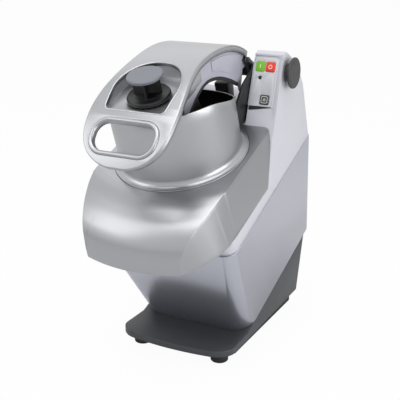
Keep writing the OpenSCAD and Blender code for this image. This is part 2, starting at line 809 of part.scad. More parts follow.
module panel_plate() tilted() color("#D2D3D8") on_face() difference() {
    translate([panel_x + panel_w / 2, panel_h / 2 + panel_low, -panel_t + seat])
        linear_extrude(height = panel_t) pad(panel_w, panel_h, panel_corner);
    for (p = key_up) translate([p[0], p[1], -over]) linear_extrude(height = far)
        pad(key_a + seat, key_a + seat, key_a / 6);
    translate([light_at[0], light_at[1], -over]) cylinder(r = mount_t, h = far);
}

module key(i) translate([key_up[i][0], key_up[i][1], -panel_t])
    linear_extrude(height = panel_t + key_travel * 2)
    pad(key_a - seat, key_a - seat, key_a / 6);

module key_start() tilted() color("#7CC22E") on_face() key(0);
module key_stop() tilted() color("#E8402A") on_face() key(1);
module key_pulse() tilted() color("#4A4A50") on_face() key(2);

module status_light() tilted() color("#30161A") on_face()
    translate([light_at[0], light_at[1], -panel_t * 2])
    cylinder(r = mount_t - seat, h = panel_t * 2 + twice * seat);

module control_board() tilted() color("#2E6B3A") on_face()
    translate([panel_x + panel_w / 2 + panel_t, panel_h / 2 + panel_low, -over]) union() {
        linear_extrude(height = panel_t / 2) square([board_w, board_h], center = true);
        // Pillars that hold the board behind the plate
        for (sx = [-1, 1], sy = [-1, 1])
            translate([sx * (board_w / 2 - mount_t), sy * board_h / 6, 0])
            cylinder(r = mount_t / 2, h = over - panel_t);
    }
board_w = panel_w - twice * over;
board_h = panel_h - twice * over;

// Post between the columns under the hinge

module lever_rest() tilted() color("#2B2B2E") across(twice * arm_r) polygon([
    [hinge_v - arm_r, seat], [hinge_v + arm_r / 2, seat],
    [hinge_v + arm_r, hinge_w - twice * arm_r], [hinge_v - arm_r, hinge_w - twice * arm_r]]);

// Lid with its hopper

module lid_ring() tilted() color("#CBCBD1") union() {
    at(0, -recess_d + seat) tube(lid_r, hopper_r + seat, lid_t);
}

module hopper() tilted() color("#C6C6CC") difference() {
    union() {
        at(0, seat - recess_d) cylinder(r = hopper_r, h = rim_top + recess_d - seat);
        // Fillet at the foot
        at(0, lid_t - recess_d + twice * seat) rotate_extrude() difference() {
            translate([hopper_r - over, 0]) square([over + hopper_fillet, hopper_fillet]);
            translate([hopper_r + hopper_fillet, hopper_fillet]) circle(r = hopper_fillet);
        }
    }
    at(0, -far / 2) cylinder(r = hopper_r - hopper_wall, h = far);
    // Slanted rim
    at(0, rim_h) rotate([-rim_slope, 0, 0]) translate([-far / 2, -far / 2, 0]) cube([far, far, far]);
}

module lid_arm(x0) tilted() color("#3A3B3F") difference() {
    across_from(x0, lid_arm_t) union() {
        link([hinge_v, hinge_w], [hopper_r * 0.78, arm_r + recess_d + lid_t], arm_r);
        translate([hopper_r * 0.72, lid_t]) square([arm_r * 1.2, arm_r]);
    }
    at(0, -far / 2) cylinder(r = hopper_r + seat, h = far);
    at(0, -far / 2) cylinder(r = lid_r + seat, h = far / 2 + hopper_fillet + lid_t);
    at(hinge_v, hinge_w) rotate([0, 90, 0]) cylinder(r = pin_r + running, h = far, center = true);
}

module lid_arm_left() lid_arm(-lid_arm_x - lid_arm_t);
module lid_arm_right() lid_arm(lid_arm_x);

// Lever

// Ring sector about the hood's axis between two angles measured back from w
module sector(r, a0, a1) intersection() {
    circle(r = r);
    polygon([[0, 0], far * [sin(a0), cos(a0)], far * [sin((a0 + a1) / 2), cos((a0 + a1) / 2)] * 2,
        far * [sin(a1), cos(a1)]]);
}

// Angle of the hand hole forward of the crown
grip_turn = asin((hood_front * grip_share + hood_crown) / hood_r);
// Angles that the arcs of the hood and of the side walls are drawn over
fore_turn = -60;
side_turn = 89;
hood_end = asin((hood_back - hood_crown - (hood_r - hood_roll) * sin(hood_turn)) / hood_roll);

// Side view of the hood's skin, t thick, its top moved in by t0
module hood_line(t0, t) translate([hood_crown, hood_axis_w]) union() {
    difference() {
        sector(hood_r - t0, fore_turn, hood_turn);
        circle(r = hood_r - t0 - t);
    }
    translate((hood_r - hood_roll) * [sin(hood_turn), cos(hood_turn)]) difference() {
        sector(hood_roll - t0, hood_turn, hood_end);
        circle(r = hood_roll - t0 - t);
    }
}

// Shares of the hood's front and of its half width, from the front to the back
hood_shares = [[0.001, 1], [0.2, 0.998], [0.4, 0.987], [0.555, 0.968], [0.69, 0.941],
    [0.8, 0.91], [0.875, 0.878], [0.925, 0.838], [0.955, 0.79], [0.975, 0.735], [0.99, 0.68],
    [1, 0.635], [0.993, 0.54], [0.969, 0.45], [0.94, 0.36], [0.885, 0.226], [0.833, 0.09],
    [0.792, -0.045], [0.778, -0.18], [0.783, -0.45], [0.79, -1.2]];

function hood_edge(t) = [for (p = hood_shares)
    [max(p[0] * hood_half - t, 0), -p[1] * hood_front + (p[1] > 0.8 ? t : 0)]];

module hood_plan(t) polygon(concat(hood_edge(t),
    [for (i = [len(hood_shares) - 1:-1:0]) let (p = hood_edge(t)[i]) [-p[0], p[1]]]));

module window_plan() union() {
    polygon([for (a = [0:7.5:180]) [window_half * cos(a), -window_mid + window_arch * sin(a)]]);
    polygon([[-window_half, -window_mid], [-window_half * 0.96, -window_mid - window_foot * 0.9],
        [-window_half * 0.88, -window_mid - window_foot], [window_half * 0.88, -window_mid - window_foot],
        [window_half * 0.96, -window_mid - window_foot * 0.9], [window_half, -window_mid]]);
}

// The place on the hood at an angle forward of its crown: z is out of the skin
module on_hood(a) at(hood_crown, hood_axis_w) rotate([a, 0, 0]) at(0, hood_r) children();

module lever_hood() tilted() color("#C4C4CA") difference() {
    union() {
        intersection() {
            across(far) hood_line(0, hood_wall);
            linear_extrude(height = far) hood_plan(0);
        }
        // Side band, turned down along the edge
        intersection() {
            across(far) hood_line(0, band_h);
            linear_extrude(height = far) difference() {
                hood_plan(0);
                hood_plan(hood_wall);
            }
        }
    }
    linear_extrude(height = far) window_plan();
    on_hood(grip_turn) translate([0, 0, -over * 2]) linear_extrude(height = over * 4)
        pad(grip_w + twice * (grip_rim + seat), grip_h + twice * (grip_rim + seat), grip_r + grip_rim);
}

module hand_rim() tilted() color("#D9DADD") on_hood(grip_turn) translate([0, 0, -over])
    linear_extrude(height = over + hood_wall / 2) difference() {
        pad(grip_w + twice * grip_rim, grip_h + twice * grip_rim, grip_r + grip_rim);
        pad(grip_w, grip_h, grip_r);
    }

tray_front_v = window_mid + window_foot + over / 2;
tray_back_v = window_arch - window_mid + over;

module tray_box(t) intersection() {
    across(twice * (tray_half + tray_t - t)) intersection() {
        translate([-tray_front_v + t, tray_top - tray_t + t])
            square([tray_front_v + tray_back_v - twice * t, far]);
        translate([hood_crown, hood_axis_w]) circle(r = hood_r - hood_wall - seat + (t > 0 ? over : 0));
    }
    linear_extrude(height = far) hood_plan(hood_wall + seat + t);
}

module lever_tray() tilted() color("#55565B") difference() {
    tray_box(0);
    tray_box(tray_t);
    at(-pestle_v, -far / 2) cylinder(r = tube_r + tube_wall + seat, h = far);
}

// Places on the lower edge of a side wall, as shares of the hinge's place
side_shares = [[-0.288, 1.557], [-0.171, 1.785], [-0.048, 1.933], [0.086, 2.013], [0.23, 1.965],
    [0.419, 1.718], [0.602, 1.342], [0.725, 1.02], [0.745, 0.72], [0.806, 0.988], [0.85, 1.482],
    [0.829, 1.718]];

module side_outline() difference() {
    intersection() {
        polygon(concat([for (p = side_shares) [p[0] * hinge_v, p[1] * hinge_w]],
            [[hinge_v * 0.8, far], [-hinge_v * 0.3, far]]));
        union() {
            translate([hood_crown, hood_axis_w]) union() {
                sector(hood_r - hood_wall - seat, fore_turn, hood_turn);
                translate((hood_r - hood_roll) * [sin(hood_turn), cos(hood_turn)])
                    sector(hood_roll - hood_wall - seat, hood_turn, side_turn);
            }
        }
    }
    // Clear of the tray
    translate([-far, tray_top - tray_t - seat]) square([far + tray_back_v + seat, far]);
}

module lever_side(x0) tilted() color("#C3C3D2") across_from(x0, side_t) side_outline();
module lever_side_left() lever_side(-side_x);
module lever_side_right() lever_side(side_x - side_t);

// The arm's front eye stays clear below the hood's band
arm_v = hinge_v * 0.6;
arm_w = hood_axis_w + sqrt(pow(hood_r, 2) - pow(arm_v - hood_crown, 2)) - arm_r - band_h - 2.8 * hood_wall;

module lever_arm(x0) tilted() color("#2E2F33") difference() {
    across_from(x0, lever_arm_t)
        link([hinge_v, hinge_w], [arm_v, arm_w], arm_r);
    at(hinge_v, hinge_w) rotate([0, 90, 0]) cylinder(r = pin_r + running, h = far, center = true);
}

module lever_arm_left() lever_arm(-side_x - seat - lever_arm_t);
module lever_arm_right() lever_arm(side_x + seat);

module lever_hub() tilted() color("#2E2F33") at(hinge_v, hinge_w) rotate([0, 90, 0])
    translate([0, 0, -side_x]) tube(arm_r * link_share, pin_r + running, twice * side_x);

module feed_tube() tilted() color("#3A3B3F") at(-pestle_v, 0) union() {
    at(0, tube_low) tube(tube_r + tube_wall, tube_r, tray_top + mount_t - tube_low);
    at(0, tray_top + seat) tube(tube_r + tube_wall + mount_t, tube_r, mount_t);
}

module presser() tilted() color("#3A3B3F") difference() {
    union() {
        at(0, tube_low) cylinder(r = presser_r, h = presser_t);
        for (s = [-1, 1]) across_from(s * presser_r * 0.45 - mount_t / 2, mount_t) polygon([
            [-pestle_v, tube_low], [presser_r * 0.75, tube_low], [presser_r * 0.3, rim_h * 0.6],
            [presser_r * 0.05, tray_top - tray_t - seat], [-pestle_v, tray_top - tray_t - seat]]);
    }
    at(-pestle_v, -far / 2) cylinder(r = tube_r + tube_wall + seat, h = far);
    // Hollow underside
    at(0, -over) tube(presser_r - over, disc_r / 2, over + tube_low + presser_t / 2);
}

// Pestle

flange_w = tray_top + mount_t + twice * seat;
cap_low = pestle_top - 3 * pestle_edge;

module pestle() tilted() color("#2A2A2D") at(-pestle_v, 0) difference() {
    rotate_extrude() polygon([[0, tube_low + seat], [pestle_r - pestle_edge, tube_low + seat],
        [pestle_r, tube_low + pestle_edge], [pestle_r, flange_w], [pestle_flange, flange_w],
        [pestle_flange, flange_w + flange_t * 0.6], [pestle_flange - pestle_edge, flange_w + flange_t],
        [pestle_r, flange_w + flange_t], [pestle_r, pestle_top - 6 * pestle_edge],
        [pestle_r + pestle_edge, pestle_top - 5 * pestle_edge],
        [pestle_r + pestle_edge, pestle_top - 4 * pestle_edge],
        [pestle_r, cap_low], [0, cap_low]]);
    // Grooves down the body, closed at both ends
    for (a = [0:45:315]) rotate(a) translate([pestle_r, 0, tube_low + 4 * pestle_edge])
        cylinder(r = pestle_edge * 1.2, h = flange_w - tube_low - 7 * pestle_edge);
}

module pestle_cap() tilted() color("#8F929A") at(-pestle_v, 0) rotate_extrude()
    polygon([[0, cap_low + seat], [pestle_top_r - pestle_edge, cap_low + seat],
        [pestle_top_r, pestle_top - pestle_edge], [pestle_top_r - pestle_edge / 2, pestle_top],
        [0, pestle_top]]);

// Hinge pin with its knob

module hinge_pin() tilted() color("#B8BABF") at(hinge_v, hinge_w) rotate([0, 90, 0])
    translate([0, 0, -column_out])
    cylinder(r = pin_r, h = column_out + knob_x - knob_t);

module hinge_knob() tilted() color("#3C3C3C") at(hinge_v, hinge_w) rotate([0, 90, 0]) difference() {
    rotate_extrude() polygon([[0, column_out + seat], [hub_r, column_out + seat],
        [hub_r, knob_x - knob_t], [knob_r - knob_t / 6, knob_x - knob_t],
        [knob_r, knob_x - knob_t * 5 / 6], [knob_r, knob_x - knob_t / 3],
        [knob_r - knob_t / 3, knob_x], [0, knob_x]]);
    cylinder(r = pin_r + running, h = knob_x - knob_t + seat);
}

base_stand();
rail_left();
rail_right();
foot_left();
foot_right();
motor_base();
upper_housing();
nose_cover();
chamber_bowl();
discharge_chute();
bearing_carrier();
bearing_upper();
bearing_lower();
shaft_seal();
motor_plate();
motor();
capacitor();
drive_belt();
cable_gland();
gland_nut();
control_board();
panel_plate();
status_light();
lever_rest();
lid_ring();
hopper();
lid_arm_left();
lid_arm_right();
lever_hood();
hand_rim();
lever_tray();
lever_side_left();
lever_side_right();
lever_arm_left();
lever_arm_right();
lever_hub();
feed_tube();
presser();
pestle();
pestle_cap();
hinge_pin();
hinge_knob();
drive_shaft();
slicing_disc();
slicing_blades();
ejector_disc();
disc_nut();
spindle_pulley();
motor_shaft();
motor_pulley();
key_start();
key_stop();
key_pulse();
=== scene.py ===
# %% [markdown]
# # A vegetable cutting machine
# The machine was drawn as solids first, and packed with its joints. This file dresses those
# solids: it loads them as a fixed frame, lays pressed and cast forms over the plain ones,
# gives every surface its finish, and sets up a plain studio.
# A piece's lengths are in millimetres in the machine's own tilted frame: x to the side, v to
# the rear and w up, with the spindle's axis at x = v = 0 and the nose cover's top at w = 0.
# The studio and the camera are in metres.

# %% Load the frame
import math

import bmesh
import bpy
from mathutils import Matrix, Vector


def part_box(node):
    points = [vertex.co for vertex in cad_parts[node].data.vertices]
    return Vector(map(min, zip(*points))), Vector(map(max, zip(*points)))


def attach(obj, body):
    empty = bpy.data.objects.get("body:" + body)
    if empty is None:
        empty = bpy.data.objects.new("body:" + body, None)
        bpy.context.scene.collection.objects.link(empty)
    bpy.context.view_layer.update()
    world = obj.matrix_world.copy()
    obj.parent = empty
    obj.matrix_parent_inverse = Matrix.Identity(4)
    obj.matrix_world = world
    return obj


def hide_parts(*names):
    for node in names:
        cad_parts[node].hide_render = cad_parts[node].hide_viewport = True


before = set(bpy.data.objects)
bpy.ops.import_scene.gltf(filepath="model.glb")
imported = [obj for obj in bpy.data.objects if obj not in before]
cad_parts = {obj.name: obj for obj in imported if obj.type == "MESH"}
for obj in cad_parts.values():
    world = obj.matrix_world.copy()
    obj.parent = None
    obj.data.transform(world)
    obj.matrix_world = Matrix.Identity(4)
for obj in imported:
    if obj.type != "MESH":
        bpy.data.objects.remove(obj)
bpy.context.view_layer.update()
bpy.ops.object.select_all(action="DESELECT")

# %% The tilted frames
# The whole deck leans forward, and the key panel stands up from its rear part.
MM = 0.001
DECK_TILT = 20
PANEL_TILT = 51.4
PANEL_V = 122
HINGE_V, HINGE_W = 222, 74.5
TILT = Matrix.Translation((0, -0.088119, 0.446275)) @ Matrix.Rotation(math.radians(DECK_TILT), 4, "X")
FACE = TILT @ Matrix.Translation((0, PANEL_V * MM, 0)) @ Matrix.Rotation(math.radians(PANEL_TILT), 4, "X")
print("hinge", [round(c, 4) for c in TILT @ (Vector((0, HINGE_V, HINGE_W)) * MM)])

# %% [markdown]
# ## One way to add a node
# A shader tree could be wired line by line. One small function that adds a node with its
# settings and its links keeps each material to a few readable lines.

# %% Colours and nodes


def linear(code):
    """An sRGB hex colour as the three linear numbers that a shader takes."""
    parts = [int(code[i:i + 2], 16) / 255 for i in (1, 3, 5)]
    return [c / 12.92 if c <= 0.04045 else ((c + 0.055) / 1.055) ** 2.4 for c in parts]


def node(tree, kind, inputs=(), **settings):
    """Adds a node. An input that is a socket is linked, and any other is set."""
    made = tree.nodes.new(kind)
    for name, value in settings.items():
        setattr(made, name, value)
    for key, value in dict(inputs).items():
        if isinstance(value, bpy.types.NodeSocket):
            tree.links.new(value, made.inputs[key])
        else:
            made.inputs[key].default_value = value
    return made


def finish(name, colour, spread, grain, bump, rough, metal=0.0, ior=1.5, coat=0.0,
           stretch=(1, 1, 1), cloud=35.0, rough_spread=0.06):
    """A material: its colour clouds by spread over patches of cloud mm, its surface has bumps
    bump mm high and grain mm wide, drawn out by stretch, and its roughness varies with them."""
    mat = bpy.data.materials.new(name)
    mat.use_nodes = True
    tree = mat.node_tree
    shader = tree.nodes["Principled BSDF"]
    shader.inputs["Metallic"].default_value = metal
    if not metal:
        shader.inputs["IOR"].default_value = ior
    shader.inputs["Coat Weight"].default_value = coat
    shader.inputs["Coat Roughness"].default_value = 0.12
    place = node(tree, "ShaderNodeTexCoord").outputs["Object"]
    turned_back = node(tree, "ShaderNodeMapping", {"Vector": place, "Scale": stretch,
                                                   "Rotation": (-math.radians(DECK_TILT), 0, 0)})
    clouds = node(tree, "ShaderNodeTexNoise", {"Vector": place, "Scale": 1 / (cloud * MM), "Detail": 4})
    low = [c * (1 - spread) for c in linear(colour)] + [1]
    high = [min(c * (1 + spread), 1) for c in linear(colour)] + [1]
    tint = node(tree, "ShaderNodeMix", {0: clouds.outputs["Fac"], 6: low, 7: high}, data_type="RGBA")
    tree.links.new(tint.outputs[2], shader.inputs["Base Color"])
    grains = node(tree, "ShaderNodeTexNoise", {"Vector": turned_back.outputs[0], "Detail": 3,
                                               "Scale": 1 / (grain * MM), "Roughness": 0.6})
    matt = node(tree, "ShaderNodeMapRange", {"Value": grains.outputs["Fac"],
                                             "From Min": 0.25, "From Max": 0.75,
                                             "To Min": max(rough - rough_spread, 0.02),
                                             "To Max": rough + rough_spread})
    tree.links.new(matt.outputs[0], shader.inputs["Roughness"])
    raised = node(tree, "ShaderNodeBump", {"Height": grains.outputs["Fac"], "Strength": 0.5,
                                           "Distance": bump * MM})
    tree.links.new(raised.outputs[0], shader.inputs["Normal"])
    return mat


print("middle grey in linear numbers", [round(c, 3) for c in linear("#808080")])

# %% [markdown]
# ## The finishes
# The hood, the cover and the hopper are aluminium with a fine satin finish, the housing and
# the motor base are painted aluminium, and what the hand turns or presses is moulded plastic.
# One grey could serve for all from afar, but each surface's own grain, gloss and tint tell the
# pieces apart. Real grain is finer than a pixel here, so it is drawn 0.35 to 2 mm wide.

# %% Metals
# Satin grinding runs across the pressings and draws each highlight out into a soft band.
satin = finish("satin_ground_aluminium", "#A6A7AA", 0.015, 0.6, 0.0015, 0.33, metal=1.0,
               stretch=(0.15, 1, 1), rough_spread=0.03)
# Brushing up the hopper's wall gives it upright streaks of light and shade.
brushed = finish("brushed_aluminium", "#ACADB0", 0.015, 0.6, 0.002, 0.33, metal=1.0,
                 stretch=(1, 1, 0.1), rough_spread=0.03)
# Buffing leaves the blades and the disc's nut with the sharpest reflections.
bright = finish("polished_aluminium", "#C2C3C6", 0.02, 0.8, 0.001, 0.2, metal=1.0)
# Bead blasting scatters the light, so the tray is pale and even from every side.
pale_satin = finish("glass_beaded_aluminium", "#CDCED1", 0.02, 0.8, 0.002, 0.42, metal=1.0)
# The hopper's lining gets a near-black colour as painted shade and painted dark reflection, where the hood
# shades the aluminium; it keeps one soft, dim reflection.
painted_shade_lining = finish("hopper_lining_painted_shade", "#2B2B2D", 0.1, 0.8, 0.004, 0.3, metal=0.6)
# Ground steel is crisp and bright, with streaks that run to the rear.
steel = finish("ground_stainless_steel", "#B4B6BA", 0.04, 0.4, 0.004, 0.25, metal=1.0,
               stretch=(1, 0.1, 1))
# The mould's sand leaves castings a coarse skin that dulls them.
cast = finish("cast_aluminium", "#8D8F96", 0.08, 1.6, 0.05, 0.5, metal=0.9)
# Zinc plating is fairly bright and faintly mottled.
zinc_steel = finish("zinc_plated_steel", "#9FA3A8", 0.08, 1.0, 0.01, 0.34, metal=1.0)
print("metals made")

# %% Paints and plastics
# Powder coating has a slight orange peel, so shades blend softly over the housing.
body_paint = finish("powder_coated_aluminium", "#C6C6CE", 0.02, 1.3, 0.02, 0.36, coat=0.15)
# Aluminium flakes in the lacquer give the motor base the sheen of metal.
base_paint = finish("silver_lacquered_aluminium", "#B8BAC4", 0.02, 0.5, 0.002, 0.32, metal=0.85,
                    coat=0.1)
# Matt charcoal paint takes in most light and shows only broad, weak highlights.
stand_paint = finish("charcoal_painted_steel", "#3B3D41", 0.06, 1.2, 0.03, 0.48)
# Rubber hardly shines, which sets the feet and edgings apart from plastic.
rubber = finish("black_rubber", "#19191B", 0.12, 0.8, 0.03, 0.7, ior=1.52)
# Moulded acetal is near black, with even highlights along its rounds.
charcoal = finish("charcoal_acetal", "#101012", 0.08, 0.7, 0.006, 0.4, ior=1.48)
# The pestle's grey cap is a little glossier, as if worn smooth by the palm.
cap_grey = finish("grey_acetal", "#646872", 0.04, 0.9, 0.01, 0.33, ior=1.48, coat=0.2)
# The knob's nylon has a textured skin, greyer and duller than acetal.
knob_black = finish("black_nylon", "#333334", 0.07, 0.6, 0.03, 0.5, ior=1.53)
# Glossy enamel mirrors the bright room in small, sharp patches.
gloss_black = finish("glossy_black_enamel", "#1A1B1D", 0.08, 2.0, 0.004, 0.16, coat=0.6)
# Moulded ABS with a trace of violet looks cooler than the metal round it.
lavender = finish("pale_grey_abs", "#B2B2C0", 0.02, 0.8, 0.006, 0.34, ior=1.54, coat=0.1)
# The printed foil has a very fine texture and a pale, even sheen.
panel_foil = finish("printed_polyester_foil", "#CDCED4", 0.02, 0.35, 0.006, 0.3, ior=1.57, coat=0.25)
# Silicone is soft in its shine and strong in colour, so the start key reads at a glance.
key_green = finish("green_silicone", "#79BE2C", 0.05, 0.7, 0.01, 0.36, ior=1.42)
# The stop key has the same skin in a warm red.
key_red = finish("red_silicone", "#E6432C", 0.05, 0.7, 0.01, 0.36, ior=1.42)
# The pulse key is dark, so only its mark stands out.
key_grey = finish("dark_silicone", "#46474C", 0.07, 0.7, 0.01, 0.36, ior=1.42)
# White ink lies matt and clear on the keys.
print_white = finish("white_ink", "#F1F1EA", 0.02, 0.5, 0.003, 0.5)
# Dark ink draws thin lines on the panel without any gloss.
print_dark = finish("dark_ink", "#4B4B52", 0.05, 0.5, 0.003, 0.5)
# White polycarbonate is clean and bright with a mild gloss.
white_plastic = finish("white_polycarbonate", "#DADADA", 0.02, 0.6, 0.008, 0.3, ior=1.58)
# The motor's enamel lies thick on its housing and shines unevenly.
motor_paint = finish("motor_enamel", "#54565C", 0.06, 1.5, 0.03, 0.42)
# The laminate's lacquer is smooth, with a deep green under it.
board_green = finish("circuit_laminate", "#2E6B3A", 0.1, 0.7, 0.01, 0.35)
# The belt's neoprene is dull and slightly grained.
belt_rubber = finish("belt_neoprene", "#1D1D1F", 0.1, 0.9, 0.05, 0.65)
# The unlit lens shows no colour, only a small sharp glint.
led_dark = finish("dark_lens_polycarbonate", "#151314", 0.08, 1.0, 0.002, 0.12, ior=1.58)
print("materials:", len(bpy.data.materials))

# %% [markdown]
# ## Softening the plain solids
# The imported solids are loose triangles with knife-sharp edges. Real castings and mouldings
# have small rounds that catch the light. Each solid could be modelled again, but a merged copy
# with a narrow bevel gives the same look, and it stays exactly where the solid is.

# %% Helpers for edit mode and modifiers
MERGE = (bpy.ops.mesh.remove_doubles, {"threshold": 0.00001})
MERGE_FINE = (bpy.ops.mesh.remove_doubles, {"threshold": 0.000004})
FLATTEN = (bpy.ops.mesh.dissolve_limited, {"angle_limit": math.radians(0.6)})
TURN_OUT = (bpy.ops.mesh.normals_make_consistent, {"inside": False})


def only(obj):
    """Selects one object alone and makes it the active one."""
    bpy.ops.object.select_all(action="DESELECT")
    obj.select_set(True)
    bpy.context.view_layer.objects.active = obj


def edit(obj, *steps):
    """Runs each step, an operator and its settings, on the whole mesh in edit mode."""
    only(obj)
    bpy.ops.object.mode_set(mode="EDIT")
    for operator, settings in steps:
        bpy.ops.mesh.select_all(action="SELECT")
        operator(**settings)
    bpy.ops.object.mode_set(mode="OBJECT")


def strips(way, first, last, count):
    """Steps that cut a mesh across the direction way into count strips from first to last."""
    return [(bpy.ops.mesh.bisect, {"plane_co": Vector(way) * (first + (last - first) * k / count),
                                   "plane_no": way}) for k in range(1, count)]


def apply(obj, kind, **settings):
    """Adds a modifier and applies it."""
    only(obj)
    mod = obj.modifiers.new(kind.title(), kind)
    for name, value in settings.items():
        setattr(mod, name, value)
    bpy.ops.object.modifier_apply(modifier=mod.name)


def bevel(obj, width, segments=2, limit=40):
    """Rounds the edges that turn by more than limit degrees, width mm wide."""
    apply(obj, "BEVEL", width=width * MM, segments=segments, limit_method="ANGLE",
          angle_limit=math.radians(limit), use_clamp_overlap=True)


def thicken(obj, thick):
    """Gives a sheet its thickness on the side that looks inwards."""
    apply(obj, "SOLIDIFY", thickness=thick * MM, offset=-1, use_even_offset=True, thickness_clamp=1.0)


print("merging within", MERGE[1]["threshold"] / MM, "mm")

# %% Helpers that copy and finish a piece
SOLID_LIMIT = 32


def merged_copy(solid, name):
    """A copy of a solid with its loose triangles joined into whole faces."""
    obj = bpy.data.objects.new(name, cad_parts[solid].data.copy())
    bpy.context.scene.collection.objects.link(obj)
    edit(obj, MERGE, FLATTEN)
    return obj


def done(obj, mat, body, *nodes, angle=35):
    """Shades the piece, gives it its finish and lets it ride on its body."""
    only(obj)
    bpy.ops.object.shade_smooth_by_angle(angle=math.radians(angle))
    if mat:
        obj.data.materials.clear()
        obj.data.materials.append(mat)
    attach(obj, body)
    if nodes:
        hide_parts(*nodes)


def soften(solid, mat, body, width, segments=2):
    """A merged copy of a solid with its edges rounded, which stands for the solid."""
    copy = merged_copy(solid, solid + "_piece")
    bevel(copy, width, segments, SOLID_LIMIT)
    done(copy, mat, body, solid)


print("solids in the frame:", len(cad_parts))

# %% [markdown]
# ## The stand
# The stand is painted steel, and its front edge bows out in the middle. A boolean with a wide
# cylinder could cut the bow, but it leaves slits at the rounded corners. Here a merged copy is
# cut into narrow strips, and its front zone is bent: each place moves back by what a wide arc
# falls off at its distance from the middle.

# %% Stand
BOW_RADIUS = 0.62
BOW_ZONE = 0.07
stand = merged_copy("base_stand", "base_stand_piece")
bevel(stand, 1.6, 2, SOLID_LIMIT)
lo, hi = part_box("base_stand")
zone_cut = (bpy.ops.mesh.bisect, {"plane_co": (0, lo.y + BOW_ZONE, 0), "plane_no": (0, 1, 0)})
edit(stand, *strips((1, 0, 0), lo.x, hi.x, 28), zone_cut)
for point in stand.data.vertices:
    near = max(0, 1 - (point.co.y - lo.y) / BOW_ZONE)
    point.co.y += near * point.co.x ** 2 / (2 * BOW_RADIUS)
done(stand, stand_paint, "machine", "base_stand")
print("stand faces", len(stand.data.polygons))

# %% Castings, mouldings and turned pieces that keep their form
# Each row gives the solid, its finish, its body and the width of its rounds.
plain = [
    ("rail_left", rubber, "machine", 1.0), ("rail_right", rubber, "machine", 1.0),
    ("foot_left", rubber, "machine", 1.0), ("foot_right", rubber, "machine", 1.0),
    ("motor_base", base_paint, "machine", 1.5), ("upper_housing", body_paint, "machine", 1.6),
    ("chamber_bowl", cast, "machine", 0.6), ("discharge_chute", steel, "machine", 0.5),
    ("bearing_carrier", cast, "machine", 0.8), ("bearing_upper", steel, "machine", 0.4),
    ("bearing_lower", steel, "machine", 0.4), ("shaft_seal", rubber, "machine", 0.4),
    ("motor_plate", zinc_steel, "machine", 0.5), ("motor", motor_paint, "machine", 0.8),
    ("capacitor", white_plastic, "machine", 0.8), ("drive_belt", belt_rubber, "machine", 0.4),
    ("cable_gland", charcoal, "machine", 0.6), ("gland_nut", charcoal, "machine", 0.4),
    ("control_board", board_green, "machine", 0.2), ("lever_rest", charcoal, "machine", 1.5),
    ("lid_ring", satin, "lid", 0.7), ("lever_tray", pale_satin, "lever", 0.5),
    ("lever_hub", charcoal, "lever", 0.8), ("feed_tube", charcoal, "lever", 0.8),
    ("presser", charcoal, "lever", 0.8), ("hinge_pin", steel, "pin", 0.6),
    ("drive_shaft", steel, "spindle", 0.6), ("slicing_disc", steel, "spindle", 0.4),
    ("slicing_blades", bright, "spindle", 0.2), ("ejector_disc", white_plastic, "spindle", 0.6),
    ("disc_nut", bright, "spindle", 0.6), ("spindle_pulley", cast, "spindle", 0.6),
    ("motor_shaft", steel, "rotor", 0.5), ("motor_pulley", cast, "rotor", 0.6),
]
for solid, mat, body, width in plain:
    soften(solid, mat, body, width)
print("softened:", len(plain))

# %% [markdown]
# ## The nose cover
# The cover is one pressing: a flat top round the hopper that rolls down to the front, with a
# crisp edge to flared side walls. Plain hulls leave facets on such a roll. A grid whose columns
# run from the hopper's recess out over the top and down the side keeps it smooth, and a narrow
# bevel draws the bright line along the crisp edge.

# %% Helpers for nets and lines


def net(name, table, close_u=False, close_v=False):
    """A grid primitive whose corners are moved onto a table of places: table[i][j], i across."""
    n, m = len(table), len(table[0])
    columns, rows = n - 1 + close_u, m - 1 + close_v
    bpy.ops.object.select_all(action="DESELECT")
    bpy.ops.mesh.primitive_grid_add(x_subdivisions=columns, y_subdivisions=rows, size=1)
    obj = bpy.context.object
    obj.name = name
    for corner in obj.data.vertices:
        i = round((corner.co.x + 0.5) * columns)
        j = round((corner.co.y + 0.5) * rows)
        corner.co = Vector(table[i % n][j % m]) * MM
    edit(obj, MERGE_FINE)
    return obj


def face_out(obj, inside):
    """Turns the faces so that most of them look away from the place inside."""
    inside = Vector(inside) * MM
    votes = sum((p.center - inside).normalized().dot(p.normal) * p.area for p in obj.data.polygons)
    if votes < 0:
        edit(obj, (bpy.ops.mesh.flip_normals, {}))


def even(path, count):
    """A path of places shared into count equal steps."""
    path = [Vector(p) for p in path]
    runs = [0.0]
    for a, b in zip(path, path[1:]):
        runs.append(runs[-1] + (b - a).length)
    made, k = [], 0
    for i in range(count + 1):
        goal = runs[-1] * i / count
        while k < len(path) - 2 and runs[k + 1] < goal:
            k += 1
        step = runs[k + 1] - runs[k]
        made.append(path[k].lerp(path[k + 1], (goal - runs[k]) / step if step else 0))
    return made


def curve_through(points, count):
    """Places on a smooth curve through the given ones, count for each stretch between two."""
    pts = [Vector(p) for p in points]
    pts = [2 * pts[0] - pts[1]] + pts + [2 * pts[-1] - pts[-2]]
    made = []
    for i in range(1, len(pts) - 2):
        a, b, c, d = pts[i - 1:i + 3]
        for k in range(count):
            t = k / count
            made.append(0.5 * ((2 * b) + (c - a) * t + (2 * a - 5 * b + 4 * c - d) * t * t
                               + (3 * b - a - 3 * c + d) * t ** 3))
    return made + [pts[-2]]


print("half way along a bent path:", even([(0, 0), (3, 0), (3, 5)], 2)[1][:])

